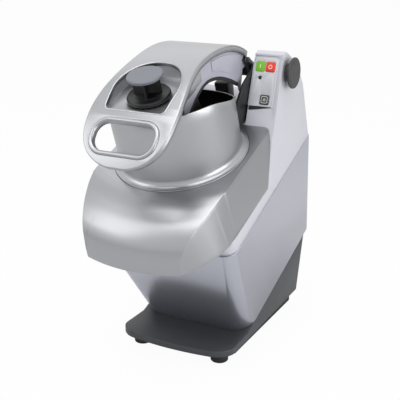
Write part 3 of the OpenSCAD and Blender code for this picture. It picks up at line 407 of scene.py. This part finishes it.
# %% The cover's lines
# The roll is drawn as distance from its axis at v = NOSE_V and height. The side wall runs from
# the top line to the low line, each drawn as x and v.
COVER_LOW = -104.0
COVER_REAR = 122
NOSE_V, FLAT_R, NOSE_R = 96, 234, 355
roll_line = curve_through([(FLAT_R, 0), (254, -2.1), (273.9, -7.8), (289, -14), (303.9, -20.8),
                           (317.5, -29.1), (329.6, -39), (342, -54.6), (350, -72.8), (354, -88),
                           (NOSE_R, COVER_LOW)], 12)
top_line = curve_through([(150.5, 40), (150.5, -92), (148.2, -108.7), (143.7, -130.4), (138.5, -147),
                          (131.7, -165.5), (124.2, -183.9), (116.6, -202.2), (110.6, -218.9),
                          (103.8, -237.3), (93.3, -267)], 12)
low_line = curve_through([(158, 40), (158, -128), (157.2, -139.8), (154, -159.4), (149.3, -175.2),
                          (142.2, -189.6), (131.9, -206.6), (120.9, -221), (109, -235.4),
                          (98.8, -252.5), (88.5, -272)], 12)


def along(line, key, goal, value):
    """The line's coordinate value where its coordinate key passes goal."""
    for a, b in zip(line, line[1:]):
        low, high = sorted((a[key], b[key]))
        if low <= goal <= high and high > low:
            return a[value] + (b[value] - a[value]) * (goal - a[key]) / (b[key] - a[key])
    return line[0][value] if abs(goal - line[0][key]) < abs(goal - line[-1][key]) else line[-1][value]


def top_w(x, v):
    """Height of the cover's top at a place: it falls with the distance from the roll's axis."""
    r = math.hypot(x, v - NOSE_V)
    return 0.0 if r <= FLAT_R else along(roll_line, 0, min(r, NOSE_R), 1)


def side_x(v, w):
    """Half width of the cover at the length v and the height w."""
    share = w / COVER_LOW
    return along(top_line, 1, v, 0) * (1 - share) + along(low_line, 1, v, 0) * share


def crisp_edge(v):
    """Half width at which the top meets the side wall at the length v."""
    low, high = 60.0, 165.0
    for _ in range(40):
        mid = (low + high) / 2
        low, high = (mid, high) if mid < side_x(v, top_w(mid, v)) else (low, mid)
    return low


print("half width at v = -200:", round(crisp_edge(-200), 1))

# %% The cover's rear edge and its columns
SLANT_V = 105
SLANT = 0.59
HALF_WIDTH = 150.5
CORNER = 20
CORNER_V = COVER_REAR - CORNER
RECESS = [(130.5, -2), (139.8, -2), (140, -1.8), (140, 0)]
ROOF_STEPS, WALL_STEPS = 26, 10


def rear_w(v):
    """Depth at which the slanted rear edge of the side wall stands at v."""
    if v > SLANT_V:
        return v - COVER_REAR
    return max(COVER_LOW, SLANT_V - COVER_REAR - (SLANT_V - v) / SLANT)


def cover_column(x_end, v_end, wall):
    """One column of the net, from the recess round the hopper to the cover's lower edge."""
    way = math.atan2(x_end, -v_end)
    start = [(r * math.sin(way), -r * math.cos(way), w) for r, w in RECESS]
    ring, end = Vector(start[-1][:2]), Vector((x_end, v_end))
    roof = []
    for i in range(161):
        p = ring.lerp(end, 1 - (1 - i / 160) ** 2.4)
        roof.append((p.x, p.y, top_w(p.x, p.y)))
    side = [roof[-1]] * WALL_STEPS
    if wall:
        drop = rear_w(v_end) - roof[-1][2]
        depths = [roof[-1][2] + drop * k / WALL_STEPS for k in range(1, WALL_STEPS + 1)]
        side = [(x_end if v_end > CORNER_V else side_x(v_end, w), v_end, w) for w in depths]
    return start + even(roof, ROOF_STEPS)[1:] + side


print("rear edge at v = 80:", round(rear_w(80), 1))

# %% Stations round the cover, and the pressing
STRAIGHT_END = -60
CORNER_END = -243.6
rear_x = HALF_WIDTH - CORNER
stations = [(rear_x * i / 8, COVER_REAR, False) for i in range(9)]
for i in range(1, 7):
    way = math.radians(90 * i / 6)
    stations.append((rear_x + CORNER * math.sin(way), CORNER_V + CORNER * math.cos(way), True))
stations += [(HALF_WIDTH, CORNER_V + (STRAIGHT_END - CORNER_V) * i / 26, True) for i in range(1, 27)]
for i in range(1, 71):
    v = STRAIGHT_END + (CORNER_END - STRAIGHT_END) * i / 70
    stations.append((crisp_edge(v), v, True))
x_corner = stations[-1][0]
for i in range(1, 27):
    way = math.asin(x_corner / NOSE_R) * (1 - i / 26)
    stations.append((NOSE_R * math.sin(way), NOSE_V - NOSE_R * math.cos(way), False))
half = [cover_column(*station) for station in stations]
mirrored = [[Vector((-p[0], p[1], p[2])) for p in column] for column in half[1:-1]]
cover = net("nose_cover_pressing", half + mirrored[::-1], close_u=True)
face_out(cover, (0, 0, -400))
thicken(cover, 2)
bevel(cover, 1.7, 3, 38)
cover.data.transform(TILT)
done(cover, satin, "machine", "nose_cover")
print("cover corner x", round(x_corner, 1), "faces", len(cover.data.polygons))

# %% [markdown]
# ## The hopper
# The hopper is a round aluminium wall with a generous fillet at its foot and a rim that falls
# to the front. A lathe could turn the wall, but not the slanted rim, so each column of the net ends
# at the rim's own height. Its lining is coloured near black as painted shade, and it throws one soft
# reflection.

# %% Hopper
WALL_R, LINING_R = 125, 121.5
FILLET, FILLET_W = 12, 13.6
RIM_W, RIM_DROP, RIM_SLOPE, RIM_BLEND = 151, 20, 0.445, 5


def hopper_column(way):
    """The wall's closed section at one way round. The rim is level behind and falls in front."""
    s, c = math.sin(way), -math.cos(way)
    rim = RIM_W - RIM_BLEND * math.log(1 + math.exp((RIM_DROP + RIM_SLOPE * WALL_R * c) / RIM_BLEND))
    turns = [math.radians(a) for a in range(0, 91, 10)]
    foot = [(WALL_R + FILLET - FILLET * math.sin(t), FILLET_W - FILLET * math.cos(t)) for t in turns]
    wall = [(WALL_R, FILLET_W + (rim - 1.2 - FILLET_W) * k / 6) for k in range(1, 7)]
    lip = [(124.6, rim - 0.4), (123.8, rim), (122.7, rim), (121.9, rim - 0.4), (LINING_R, rim - 1.2)]
    lining = [(LINING_R, -1.7 + (rim + 0.5) * (1 - k / 6)) for k in range(1, 7)]
    base = [(124.4, -1.7), (124.8, 0.5), (WALL_R, 1.6)]
    return [(r * s, r * c, w) for r, w in foot + wall + lip + lining + base]


hopper = net("hopper_wall", [hopper_column(2 * math.pi * i / 160) for i in range(160)], True, True)
edit(hopper, TURN_OUT)
hopper.data.materials.append(brushed)
# The inner faces take the near-black finish: painted shade and painted dark reflection inside the aluminium
# hopper.
hopper.data.materials.append(painted_shade_lining)
for face in hopper.data.polygons:
    if math.hypot(face.center.x, face.center.y) < (LINING_R + 0.3) * MM:
        face.material_index = 1
hopper.data.transform(TILT)
done(hopper, None, "lid", "hopper")
print("hopper faces", len(hopper.data.polygons))

# %% [markdown]
# ## The lever's hood
# The hood is a sheet that is curved one way only, with an arched window, an oval hand hole and
# a band turned down along its edge. It is cut flat, as the sheet would be: outline and openings
# are filled as a flat curve, the edges are extruded into their lips, the sheet is cut across into
# narrow strips, and only then it is laid round its arc.

# %% From the flat sheet to its arc
# The sheet's main arc is about v = HOOD_V and w = HOOD_W. Behind TURN it rolls down faster.
HOOD_V, HOOD_W = 8, -134.5
ARC, ROLL = 335.0, 220.0
TURN = math.radians(24)
ROLL_V = HOOD_V + (ARC - ROLL) * math.sin(TURN)
ROLL_W = HOOD_W + (ARC - ROLL) * math.cos(TURN)
ROLL_START = -ARC * TURN


def on_arc(x, s, h):
    """Lays a place of the flat sheet (s forward of the crown, h out of it) round the hood's arc."""
    if s >= ROLL_START:
        a = s / ARC
        return Vector((x, HOOD_V - (ARC + h) * math.sin(a), HOOD_W + (ARC + h) * math.cos(a)))
    b = TURN + (ROLL_START - s) / ROLL
    return Vector((x, ROLL_V + (ROLL + h) * math.sin(b), ROLL_W + (ROLL + h) * math.cos(b)))


def s_at(v):
    """Length along the sheet at which it stands over v."""
    a = math.asin((HOOD_V - v) / ARC)
    return ARC * a if a >= -TURN else ROLL_START - ROLL * (math.asin((v - ROLL_V) / ROLL) - TURN)


print("the rear roll starts at v =", round(on_arc(0, ROLL_START, 0).y, 1))

# %% Helpers for flat outlines
ARC_STEPS = 12
GRIP_TURN = 33.3


def rounded(points, radii, step=ARC_STEPS):
    """A closed outline with each corner rounded by its own radius."""
    made, n = [], len(points)
    for i in range(n):
        p, r = Vector(points[i]), radii[i]
        a, b = (Vector(points[i - 1]) - p).normalized(), (Vector(points[(i + 1) % n]) - p).normalized()
        half_turn = math.acos(max(-1, min(1, a.dot(b)))) / 2
        reach = r / math.tan(half_turn)
        centre = p + (a + b).normalized() * (r / math.sin(half_turn))
        start, end = p + a * reach - centre, p + b * reach - centre
        sweep = start.angle_signed(end)
        for k in range(step + 1):
            t = -sweep * k / step
            made.append((centre.x + start.x * math.cos(t) - start.y * math.sin(t),
                         centre.y + start.x * math.sin(t) + start.y * math.cos(t)))
    return made


def hand_hole(half_width, height, radius):
    """A rounded opening about the hand hole's middle, on the flat sheet."""
    corners = [(-half_width, 0), (half_width, 0), (half_width, height), (-half_width, height)]
    lift = ARC * math.radians(GRIP_TURN) - height / 2
    return [(x, s + lift) for x, s in rounded(corners, [radius] * 4)]


def drawn(name, lines, cyclic=True, **settings):
    """A mesh made from a curve, with one straight-edged line for each list of places."""
    curve = bpy.data.curves.new(name, "CURVE")
    for key, value in settings.items():
        setattr(curve, key, value)
    for line in lines:
        spline = curve.splines.new("POLY")
        spline.points.add(len(line) - 1)
        for point, (across, up) in zip(spline.points, line):
            point.co = (across, up, 0, 1)
        spline.use_cyclic_u = cyclic
    obj = bpy.data.objects.new(name, curve)
    bpy.context.scene.collection.objects.link(obj)
    only(obj)
    bpy.ops.object.convert(target="MESH")
    return bpy.context.object


print("places round the hand hole:", len(hand_hole(73, 78, 35)))

# %% The flat sheet
HOOD_REAR = 214
WINDOW_X, WINDOW_V, WINDOW_RISE, WINDOW_FOOT = 70.5, -78, 86, -130
edge = curve_through([(0, -221), (22, -220.4), (42, -216), (58, -209), (70, -200), (79.5, -188),
                      (85.5, -174), (88.8, -158), (90, -140), (89.5, -120), (87.2, -100),
                      (84.6, -80), (79.5, -50), (75, -20), (71.5, 10), (70.5, 40), (70.8, 90),
                      (71, 140), (71, HOOD_REAR)], 6)
right_edge = [(p.x, s_at(p.y)) for p in edge]
outline = right_edge + [(-x, s) for x, s in reversed(right_edge[1:])]
arch_turns = [math.radians(a) for a in range(0, 181, 4)]
window_arch = [(WINDOW_X * math.cos(t), s_at(WINDOW_V + WINDOW_RISE * math.sin(t))) for t in arch_turns]
shoulder_s, foot_s = s_at(WINDOW_V), s_at(WINDOW_FOOT)
box = [(-WINDOW_X, shoulder_s), (-65, foot_s), (65, foot_s), (WINDOW_X, shoulder_s)]
# Only the two corners at the window's foot are wanted: the arch takes the place of the others.
foot_corners = rounded(box, [0.1, 13, 13, 0.1])[ARC_STEPS + 1:3 * (ARC_STEPS + 1)]
window = window_arch + foot_corners
grip = hand_hole(73, 78, 35)
hood = drawn("hood_sheet", (outline, window, grip), dimensions="2D", fill_mode="BOTH")
print("flat sheet faces", len(hood.data.polygons))

# %% Its lips and its band
# Each profile is a list of steps (outward, up) from the cut edge. A corner of the mesh within
# NEAR mm of a place on an outline belongs to it.
BAND = [(0.9, -0.15), (1.7, -0.6), (2.2, -1.4), (2.4, -2.4), (1.6, -3.0), (1.6, -3.6), (2.6, -4.4),
        (3.0, -6.0), (3.0, -10.5), (2.6, -12.4), (1.6, -13.4)]
WINDOW_LIP = [(-0.1, 0.5), (-0.9, 0.9), (-2.2, 0.9), (-3.4, 0.2), (-4.0, -1.2), (-4.1, -3), (-4.1, -7.5)]
GRIP_LIP = [(-0.6, -0.2), (-1.0, -0.8), (-1.1, -2.0), (-1.1, -3.0)]
NEAR = 0.02


def outward(loop):
    """The outward direction at each place of a closed flat line."""
    n = len(loop)
    area = sum(loop[i - 1][0] * loop[i][1] - loop[i][0] * loop[i - 1][1] for i in range(n))
    side = 1 if area > 0 else -1
    ways = []
    for i in range(n):
        t = (Vector(loop[(i + 1) % n]) - Vector(loop[i - 1])).normalized()
        ways.append(Vector((t.y, -t.x)) * side)
    return ways


def lips(obj, loops, profiles):
    """Extrudes each open edge of a flat sheet through its profile."""
    bm = bmesh.new()
    bm.from_mesh(obj.data)
    bmesh.ops.remove_doubles(bm, verts=bm.verts, dist=0.001)
    for loop, profile in zip(loops, profiles):
        ways = outward(loop)
        known = {}
        for v in bm.verts:
            gap, i = min((math.hypot(v.co.x - x, v.co.y - s), i) for i, (x, s) in enumerate(loop))
            if gap < NEAR and v.is_boundary:
                known[v] = (v.co.copy(), ways[i])
        ring = [e for e in bm.edges if e.is_boundary and e.verts[0] in known and e.verts[1] in known]
        for out, up in profile:
            made = bmesh.ops.extrude_edge_only(bm, edges=ring)["geom"]
            where = {tuple(round(c, 4) for c in v.co): known[v] for e in ring for v in e.verts}
            known = {}
            for v in (g for g in made if isinstance(g, bmesh.types.BMVert)):
                start, way = where[tuple(round(c, 4) for c in v.co)]
                known[v] = (start, way)
                v.co = Vector((start.x + way.x * out, start.y + way.y * out, up))
            ring = [g for g in made if isinstance(g, bmesh.types.BMEdge)]
    bmesh.ops.recalc_face_normals(bm, faces=bm.faces)
    bm.to_mesh(obj.data)
    bm.free()


lips(hood, (outline, window, grip), (BAND, WINDOW_LIP, GRIP_LIP))
s_first, s_last = min(s for _, s in outline), max(s for _, s in outline)
edit(hood, *strips((0, 1, 0), s_first, s_last, 110), (bpy.ops.mesh.remove_doubles, {"threshold": 0.01}))
for point in hood.data.vertices:
    point.co = on_arc(*point.co) * MM
face_out(hood, (0, HOOD_V, HOOD_W))
thicken(hood, 1.3)
hood.data.transform(TILT)
done(hood, satin, "lever", "lever_hood", angle=40)
print("hood faces", len(hood.data.polygons))

# %% [markdown]
# ## The hand hole's bead
# A rounded bead frames the hand hole and turns in behind it, so the hand meets no sharp edge.
# A curve with a round bevel would be too plain, so the bead's own section is carried round the
# opening and laid on the arc like the sheet.

# %% Bead
BEAD = [(9.0, -2.2), (9.4, -0.4), (8.8, 1.0), (7.8, 2.2), (6.2, 3.0), (4.4, 3.2), (2.8, 2.7), (1.4, 1.6),
        (0.5, 0.2), (0.1, -1.6), (0.0, -5.0), (0.0, -9.4), (0.4, -10.0), (1.4, -10.0), (1.8, -9.4),
        (1.8, -3.4), (2.6, -2.4), (4.0, -2.2)]


def dense(points, step):
    """A closed outline with more places along its straight stretches."""
    made = []
    for i, p in enumerate(points):
        start, end = Vector(p), Vector(points[(i + 1) % len(points)])
        length = (end - start).length
        if length > 0.001:
            count = max(1, round(length / step))
            made += [start.lerp(end, k / count) for k in range(count)]
    return made


hole = dense(hand_hole(63, 58, 25), 4)
table = [[on_arc(*(p + way * out), up) for out, up in BEAD] for p, way in zip(hole, outward(hole))]
bead = net("hand_hole_bead", table, True, True)
edit(bead, TURN_OUT)
bead.data.transform(TILT)
done(bead, satin, "lever", "hand_rim", angle=50)
print("bead faces", len(bead.data.polygons))

# %% [markdown]
# ## Side walls, edgings, eyes and cheeks
# Inside the hood stands a moulded wall at each side, arched over the hopper, with a thin raised
# field and a black edging along the arch. Dark eyes at its rear end hold the lever's pin, and
# the lid hangs on broad cheeks outside them. All are flat plates, so each could be a box cut to
# shape. It is quicker to fill its outline as a curve, thicken it and round its edges.

# %% Outlines, drawn in v and w
WALL_FRONT = 17.5
EDGING = 7
arch = curve_through([(-63.9, 116), (-38, 133), (-10.7, 144), (19.1, 150), (51, 146.4), (93, 128),
                      (133.6, 100), (161, 76)], 5)
horn = [(165.4, 53.6), (178.9, 73.6), (188, 93), (210, 94), (HOOD_REAR, 100)]
crown = [on_arc(0, s_at(v), -2.4).yz for v in range(HOOD_REAR, -136, -5)]
wall_line = [p[:] for p in arch] + horn + [p[:] for p in crown if p.x > WALL_FRONT]
wall_line += [(WALL_FRONT, 198), (WALL_FRONT, 159.5), (-63.9, 159.5)]
edging_line = [p[:] for p in arch]
for i in reversed(range(len(arch))):
    t = (arch[min(i + 1, len(arch) - 1)] - arch[max(i - 1, 0)]).normalized()
    edging_line.append((arch[i].x + t.y * EDGING, arch[i].y - t.x * EDGING))
field_low = curve_through([(62, 143), (93, 128), (133.6, 100), (170, 84)], 5)
field_top = [on_arc(0, s_at(v), -19.5).yz for v in range(186, 62, -6)]
field_line = [(p.x, p.y + 13) for p in field_low] + [p[:] for p in field_top]
eye_line = [(236, 69), (237.5, 76), (234, 85), (222, 97), (212, 110), (200, 117), (191, 112), (195, 102),
            (204, 90), (206.5, 78), (207, 68), (214, 60), (222, 58.6), (231, 61.5)]
cheek_line = [(100, 3), (160, 3), (236, 62), (237.5, 74), (234, 85), (222, 90.5), (205, 90), (150, 80),
              (114, 58), (102, 42)]
print("places in the wall's outline:", len(wall_line))

# %% Plates on both sides


def plate(name, line, thick, place):
    """A flat plate: a closed line filled, thickened about its plane and laid at its place."""
    obj = drawn(name, [line], dimensions="2D", fill_mode="BOTH", extrude=thick / 2)
    obj.data.transform(place @ Matrix.Diagonal((MM, MM, MM, 1)))
    edit(obj, MERGE_FINE, TURN_OUT)
    return obj


def upright(x):
    """The place of a plate that stands across x, drawn in v and w."""
    return TILT @ Matrix(((0, 0, 1, x * MM), (1, 0, 0, 0), (0, 1, 0, 0), (0, 0, 0, 1)))


# Each row gives a name, an outline, a thickness, a distance from the middle, the width and the
# segments of the rounds, a finish, a body and the solids that the plate stands for.
plates = [
    ("lever_side_{hand}_moulding", wall_line, 4, 65.3, 0.6, 2, lavender, "lever", ["lever_side_{hand}"]),
    ("arch_edging_{number}", edging_line, 5, 65.3, 0.6, 2, rubber, "lever", []),
    ("lever_field_{number}", field_line, 1.6, 68.1, 0.48, 2, lavender, "lever", []),
    ("lever_eye_{number}", eye_line, 8, 71.6, 1.2, 2, gloss_black, "lever", ["lever_arm_{hand}"]),
    ("lid_cheek_{number}", cheek_line, 7, 83.5, 1.2, 3, charcoal, "lid", ["lid_arm_{hand}"]),
]
for side, hand in ((-1, "left"), (1, "right")):
    for pattern, line, thick, x, width, segments, mat, body, solids in plates:
        piece = plate(pattern.format(hand=hand, number=side + 1), line, thick, upright(side * x))
        bevel(piece, width, segments)
        done(piece, mat, body, *[solid.format(hand=hand) for solid in solids])
        print(piece.name, len(piece.data.polygons), "faces")

# %% [markdown]
# ## Panel, keys and lamp
# The panel is a plate with a printed foil, and a thin black wedge under it, finished as rubber, is painted
# shadow.
# The keys are silicone pads, and the marks on them are the common ones for start and stop. Ink
# could be a picture on the foil. It is drawn as thin raised shapes, because these need no picture.

# %% Panel and keys
KEY_TOP = 2.05
START_AT, STOP_AT, PULSE_AT = (105, 124, KEY_TOP), (127.5, 124, KEY_TOP), (124.5, 55.5, KEY_TOP)
INK_SHARE = 0.35
soften("panel_plate", panel_foil, "machine", 0.5)
soften("status_light", led_dark, "machine", 0.5)
soften("key_start", key_green, "start_key", 1.4, 3)
soften("key_stop", key_red, "stop_key", 1.4, 3)
soften("key_pulse", key_grey, "pulse_key", 1.4, 3)


def inked(name, path, width, place, mat, body, cyclic=False):
    """A raised line of ink on the panel, drawn through path and flattened by INK_SHARE."""
    obj = drawn(name, [path], cyclic, dimensions="3D", bevel_depth=width / 2, bevel_resolution=2)
    obj.data.transform(FACE @ Matrix.Translation(Vector(place) * MM)
                       @ Matrix.Diagonal((MM, MM, MM * INK_SHARE, 1)))
    done(obj, mat, body)


ring_turns = [math.radians(a) for a in range(0, 360, 12)]
stop_ring = [(3.6 * math.cos(t), 3.9 * math.sin(t)) for t in ring_turns]
inked("start_mark", [(0, -3.6), (0, 3.6)], 1.5, START_AT, print_white, "start_key")
inked("stop_mark", stop_ring, 1.3, STOP_AT, print_white, "stop_key", True)
frame_mark = rounded([(-6.6, -6.6), (6.6, -6.6), (6.6, 6.6), (-6.6, 6.6)], [2.2] * 4, 4)
inked("pulse_mark_frame", frame_mark, 0.9, PULSE_AT, print_white, "pulse_key", True)
for i, (x, half_bar) in enumerate(((-2.2, 2.4), (0, 3.4), (2.2, 2.4))):
    inked(f"pulse_mark_bar_{i}", [(x, -half_bar), (x, half_bar)], 0.9, PULSE_AT, print_white, "pulse_key")
for i in range(2):
    inked(f"lamp_mark_{i}", [(-1.4, -2.4), (1.4, 2.4)], 0.7, (97.4 + 3 * i, 101, 0.35), print_dark,
          "machine")
# A thin black wedge under the panel's lower edge is painted shadow: the shade that the plate's edge casts on
# the housing.
painted_shadow_outline = [(91.5, 41.2), (91.5, 33.5), (93.5, 32), (141.5, 40), (141.5, 41.2)]
painted_shadow_wedge = plate("panel_painted_shadow", painted_shadow_outline, 0.8, FACE)
done(painted_shadow_wedge, rubber, "machine")
border = rounded([(-25.5, -51), (25.5, -51), (25.5, 51), (-25.5, 51)], [4] * 4, 5)
inked("panel_border", border, 0.35, (116.5, 92.5, 0.32), print_dark, "machine", True)
print("panel done")

# %% [markdown]
# ## The pestle
# The pestle is a plastic plunger with a stop flange, a neck with four pockets, and a flat cap.
# The neck could be built up from ribs, but it is quicker to cut the pockets out of a copy of
# the solid with four boolean blocks. The cap is round, so its profile is turned about the axis.

# %% Turned pieces and blocks


def turned(name, profile, base, count=96):
    """A profile of (radius, height) turned about the base's own z axis."""
    table = [[(r * math.cos(2 * math.pi * i / count), r * math.sin(2 * math.pi * i / count), h)
              for r, h in profile] for i in range(count)]
    obj = net(name, table, True)
    edit(obj, TURN_OUT)
    obj.data.transform(base)
    return obj


def corner_round(r, h, size, outward, upward, count=4):
    """A quarter round at the corner (r, h) of a profile."""
    steps = [math.radians(90 * k / count) for k in range(count + 1)]
    return [(r - outward * size * (1 - math.cos(t)), h - upward * size * (1 - math.sin(t))) for t in steps]


def block(place, sides):
    """A cube laid at its place and drawn out to its three sides in mm."""
    bpy.ops.object.select_all(action="DESELECT")
    bpy.ops.mesh.primitive_cube_add(size=1)
    obj = bpy.context.object
    obj.data.transform(place @ Matrix.Diagonal((sides[0] * MM, sides[1] * MM, sides[2] * MM, 1)))
    return obj


print("places in a corner's round:", len(corner_round(10, 0, 1, 1, 1)))

# %% Plunger and cap
PESTLE_V = -68
POCKET_AT, POCKET_SIDES, POCKET_TURN = (21.6, 21.6, 191.5), (40, 40, 31), 0.35
CAP_R, CAP_LOW, CAP_TOP = 34.5, 208.8, 214.4
PESTLE = TILT @ Matrix.Translation((0, PESTLE_V * MM, 0))
plunger = merged_copy("pestle", "pestle_plunger")
for k in range(4):
    quarter = Matrix.Rotation(math.pi * k / 2 + POCKET_TURN, 4, "Z")
    pocket = block(PESTLE @ quarter @ Matrix.Translation(Vector(POCKET_AT) * MM), POCKET_SIDES)
    apply(plunger, "BOOLEAN", object=pocket, operation="DIFFERENCE", solver="EXACT")
    bpy.data.objects.remove(pocket)
bevel(plunger, 0.6, 2, SOLID_LIMIT)
done(plunger, charcoal, "pestle_body", "pestle")
cap_line = ([(0, CAP_LOW), (30, CAP_LOW)] + corner_round(CAP_R, CAP_LOW, 1.5, 1, -1)[::-1]
            + corner_round(CAP_R, CAP_TOP, 1.9, 1, 1) + [(31, 214.45), (22, 214.2), (0, 214.0)])
cap = turned("pestle_cap_disc", cap_line, PESTLE)
done(cap, cap_grey, "pestle_body", "pestle_cap")
print("cap faces", len(cap.data.polygons))

# %% [markdown]
# ## The hinge knob
# The knob is a moulded disc with a stepped rim, a hub behind it, and a small mark near its top.
# A cylinder with bevels would lack the steps, so the whole profile is turned about the hinge.

# %% Knob
KNOB_R, KNOB_BACK, KNOB_FRONT, KNOB_BORE = 32.5, 165.2, 170.6, 8.2
MARK_UP = 23
HINGE = (TILT @ Matrix.Translation(Vector((0, HINGE_V, HINGE_W)) * MM)
         @ Matrix.Rotation(math.radians(90), 4, "Y"))
lo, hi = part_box("hinge_knob")
hub_end = lo.x / MM
knob_line = ([(KNOB_BORE, hub_end), (18.4, hub_end), (19, hub_end + 0.6), (19, 163.4), (20.2, 164.6)]
             + [(30.6, 165.0)] + corner_round(KNOB_R, KNOB_BACK, 1.6, 1, -1)[::-1]
             + corner_round(KNOB_R, KNOB_FRONT, 2.2, 1, 1)
             + [(29.4, 170.7), (28.8, 170.2), (27.4, 170.2), (26.8, 170.8), (12, 171.0), (0, 171.0),
                (0, KNOB_BACK), (KNOB_BORE, KNOB_BACK)])
knob = turned("hinge_knob_disc", knob_line, HINGE)
done(knob, knob_black, "pin", "hinge_knob")
mark = block(TILT @ Matrix.Translation(Vector((171.0, HINGE_V, HINGE_W + MARK_UP)) * MM), (0.5, 2.0, 5.5))
mark.name = "knob_mark"
bevel(mark, 0.2, 2, 30)
done(mark, rubber, "pin")
print("knob from", round(hub_end, 1), "to", round(hi.x / MM, 1))

# %% [markdown]
# ## The studio
# A pale floor, a white background and four soft lamps. A curved backdrop could hide the floor's
# far edge, but it would look grey. Here the floor glows as the camera sees it, so it looks white
# and still keeps a faint shadow, and shiny surfaces mirror only a part of that glow.

# %% Floor
SEEN_GLOW = 0.96
MIRRORED_GLOW = 0.2
bpy.ops.object.select_all(action="DESELECT")
bpy.ops.mesh.primitive_plane_add(size=80)
floor = bpy.context.object
floor.name = "studio_floor"
floor_mat = bpy.data.materials.new("pale_floor")
floor_mat.use_nodes = True
tree = floor_mat.node_tree
matt_white = tree.nodes["Principled BSDF"]
matt_white.inputs["Roughness"].default_value = 0.9
matt_white.inputs["Specular IOR Level"].default_value = 0.1
noise = node(tree, "ShaderNodeTexNoise", {"Scale": 3.0})
tone = node(tree, "ShaderNodeMix", {0: noise.outputs["Fac"], 6: (0.80, 0.80, 0.81, 1),
                                    7: (0.83, 0.83, 0.83, 1)}, data_type="RGBA")
tree.links.new(tone.outputs[2], matt_white.inputs["Base Color"])
path = node(tree, "ShaderNodeLightPath")
glow = node(tree, "ShaderNodeEmission", {"Color": (1, 1, 1, 1), "Strength": 1.0})
direct = node(tree, "ShaderNodeMath", {0: path.outputs["Is Camera Ray"],
                                       1: path.outputs["Is Transmission Ray"]},
              operation="ADD", use_clamp=True)
mirrored_share = node(tree, "ShaderNodeMath", {0: path.outputs["Is Glossy Ray"], 1: MIRRORED_GLOW},
                      operation="MULTIPLY")
seen = node(tree, "ShaderNodeMath", {0: direct.outputs[0], 1: SEEN_GLOW, 2: mirrored_share.outputs[0]},
            operation="MULTIPLY_ADD")
mixed = node(tree, "ShaderNodeMixShader", {0: seen.outputs[0], 1: matt_white.outputs[0], 2: glow.outputs[0]})
tree.links.new(mixed.outputs[0], tree.nodes["Material Output"].inputs[0])
floor.data.materials.append(floor_mat)
print("floor nodes:", len(tree.nodes))

# %% Background
# It lights the machine less strongly than it looks, so that the lamps still shape the forms.
LIT_LEVEL, SEEN_LEVEL = 0.62, 1.0
world = bpy.data.worlds.new("studio")
bpy.context.scene.world = world
world.use_nodes = True
tree = world.node_tree
back = tree.nodes["Background"]
path = node(tree, "ShaderNodeLightPath")
either = node(tree, "ShaderNodeMath", {0: path.outputs["Is Camera Ray"], 1: path.outputs["Is Glossy Ray"]},
              operation="ADD")
any_of = node(tree, "ShaderNodeMath", {0: either.outputs[0], 1: path.outputs["Is Transmission Ray"]},
              operation="ADD", use_clamp=True)
level = node(tree, "ShaderNodeMapRange", {"Value": any_of.outputs[0], "To Min": LIT_LEVEL,
                                          "To Max": SEEN_LEVEL})
tree.links.new(level.outputs[0], back.inputs["Strength"])
back.inputs["Color"].default_value = (1, 1, 1, 1)
print("background nodes:", len(tree.nodes))

# %% Lamps


def lamp(name, place, aim, size, power):
    """A square lamp size metres wide at its place, turned to its aim, of power watts."""
    light = bpy.data.lights.new(name, "AREA")
    light.size = size
    light.energy = power
    obj = bpy.data.objects.new(name, light)
    bpy.context.scene.collection.objects.link(obj)
    obj.location = place
    obj.rotation_euler = (Vector(aim) - Vector(place)).to_track_quat("-Z", "Y").to_euler()


lamp("key_lamp", (-1.5, -1.5, 1.6), (0, 0, 0.4), 1.4, 9)
lamp("top_lamp", (0.1, -0.7, 2.5), (0, 0, 0.4), 1.8, 22)
lamp("fill_lamp", (2.5, -0.3, 0.7), (0, 0, 0.42), 1.7, 27)
lamp("rear_lamp", (-1.2, 1.4, 2.3), (0, 0, 0.4), 1.8, 4)
print("lamps:", len(bpy.data.lights))

# %% [markdown]
# ## The camera
# It stands where the photograph was taken from: 28 degrees round to the right and 18 degrees up.
# It could be aimed with a constraint, but its three axes are known, so they are set at once.

# %% Camera
CAMERA_AT = (0.81172, -1.55337, 0.88925)
ROUND_BY, UP_BY = math.radians(27.67), math.radians(18.09)
FOCAL_PIXELS, PICTURE_PIXELS, SENSOR = 848.86, 400, 36
right = Vector((math.cos(ROUND_BY), math.sin(ROUND_BY), 0))
behind = Vector((math.sin(ROUND_BY) * math.cos(UP_BY), -math.cos(ROUND_BY) * math.cos(UP_BY),
                 math.sin(UP_BY)))
lens = bpy.data.cameras.new("camera")
lens.sensor_width = SENSOR
lens.lens = FOCAL_PIXELS / PICTURE_PIXELS * SENSOR
camera = bpy.data.objects.new("camera", lens)
bpy.context.scene.collection.objects.link(camera)
turn = Matrix((right, behind.cross(right), behind)).transposed().to_4x4()
camera.matrix_world = Matrix.Translation(CAMERA_AT) @ turn
bpy.context.scene.camera = camera
bpy.context.scene.view_settings.view_transform = "Standard"
print("lens", round(lens.lens, 1), "mm")

# %% The end
bpy.context.view_layer.update()
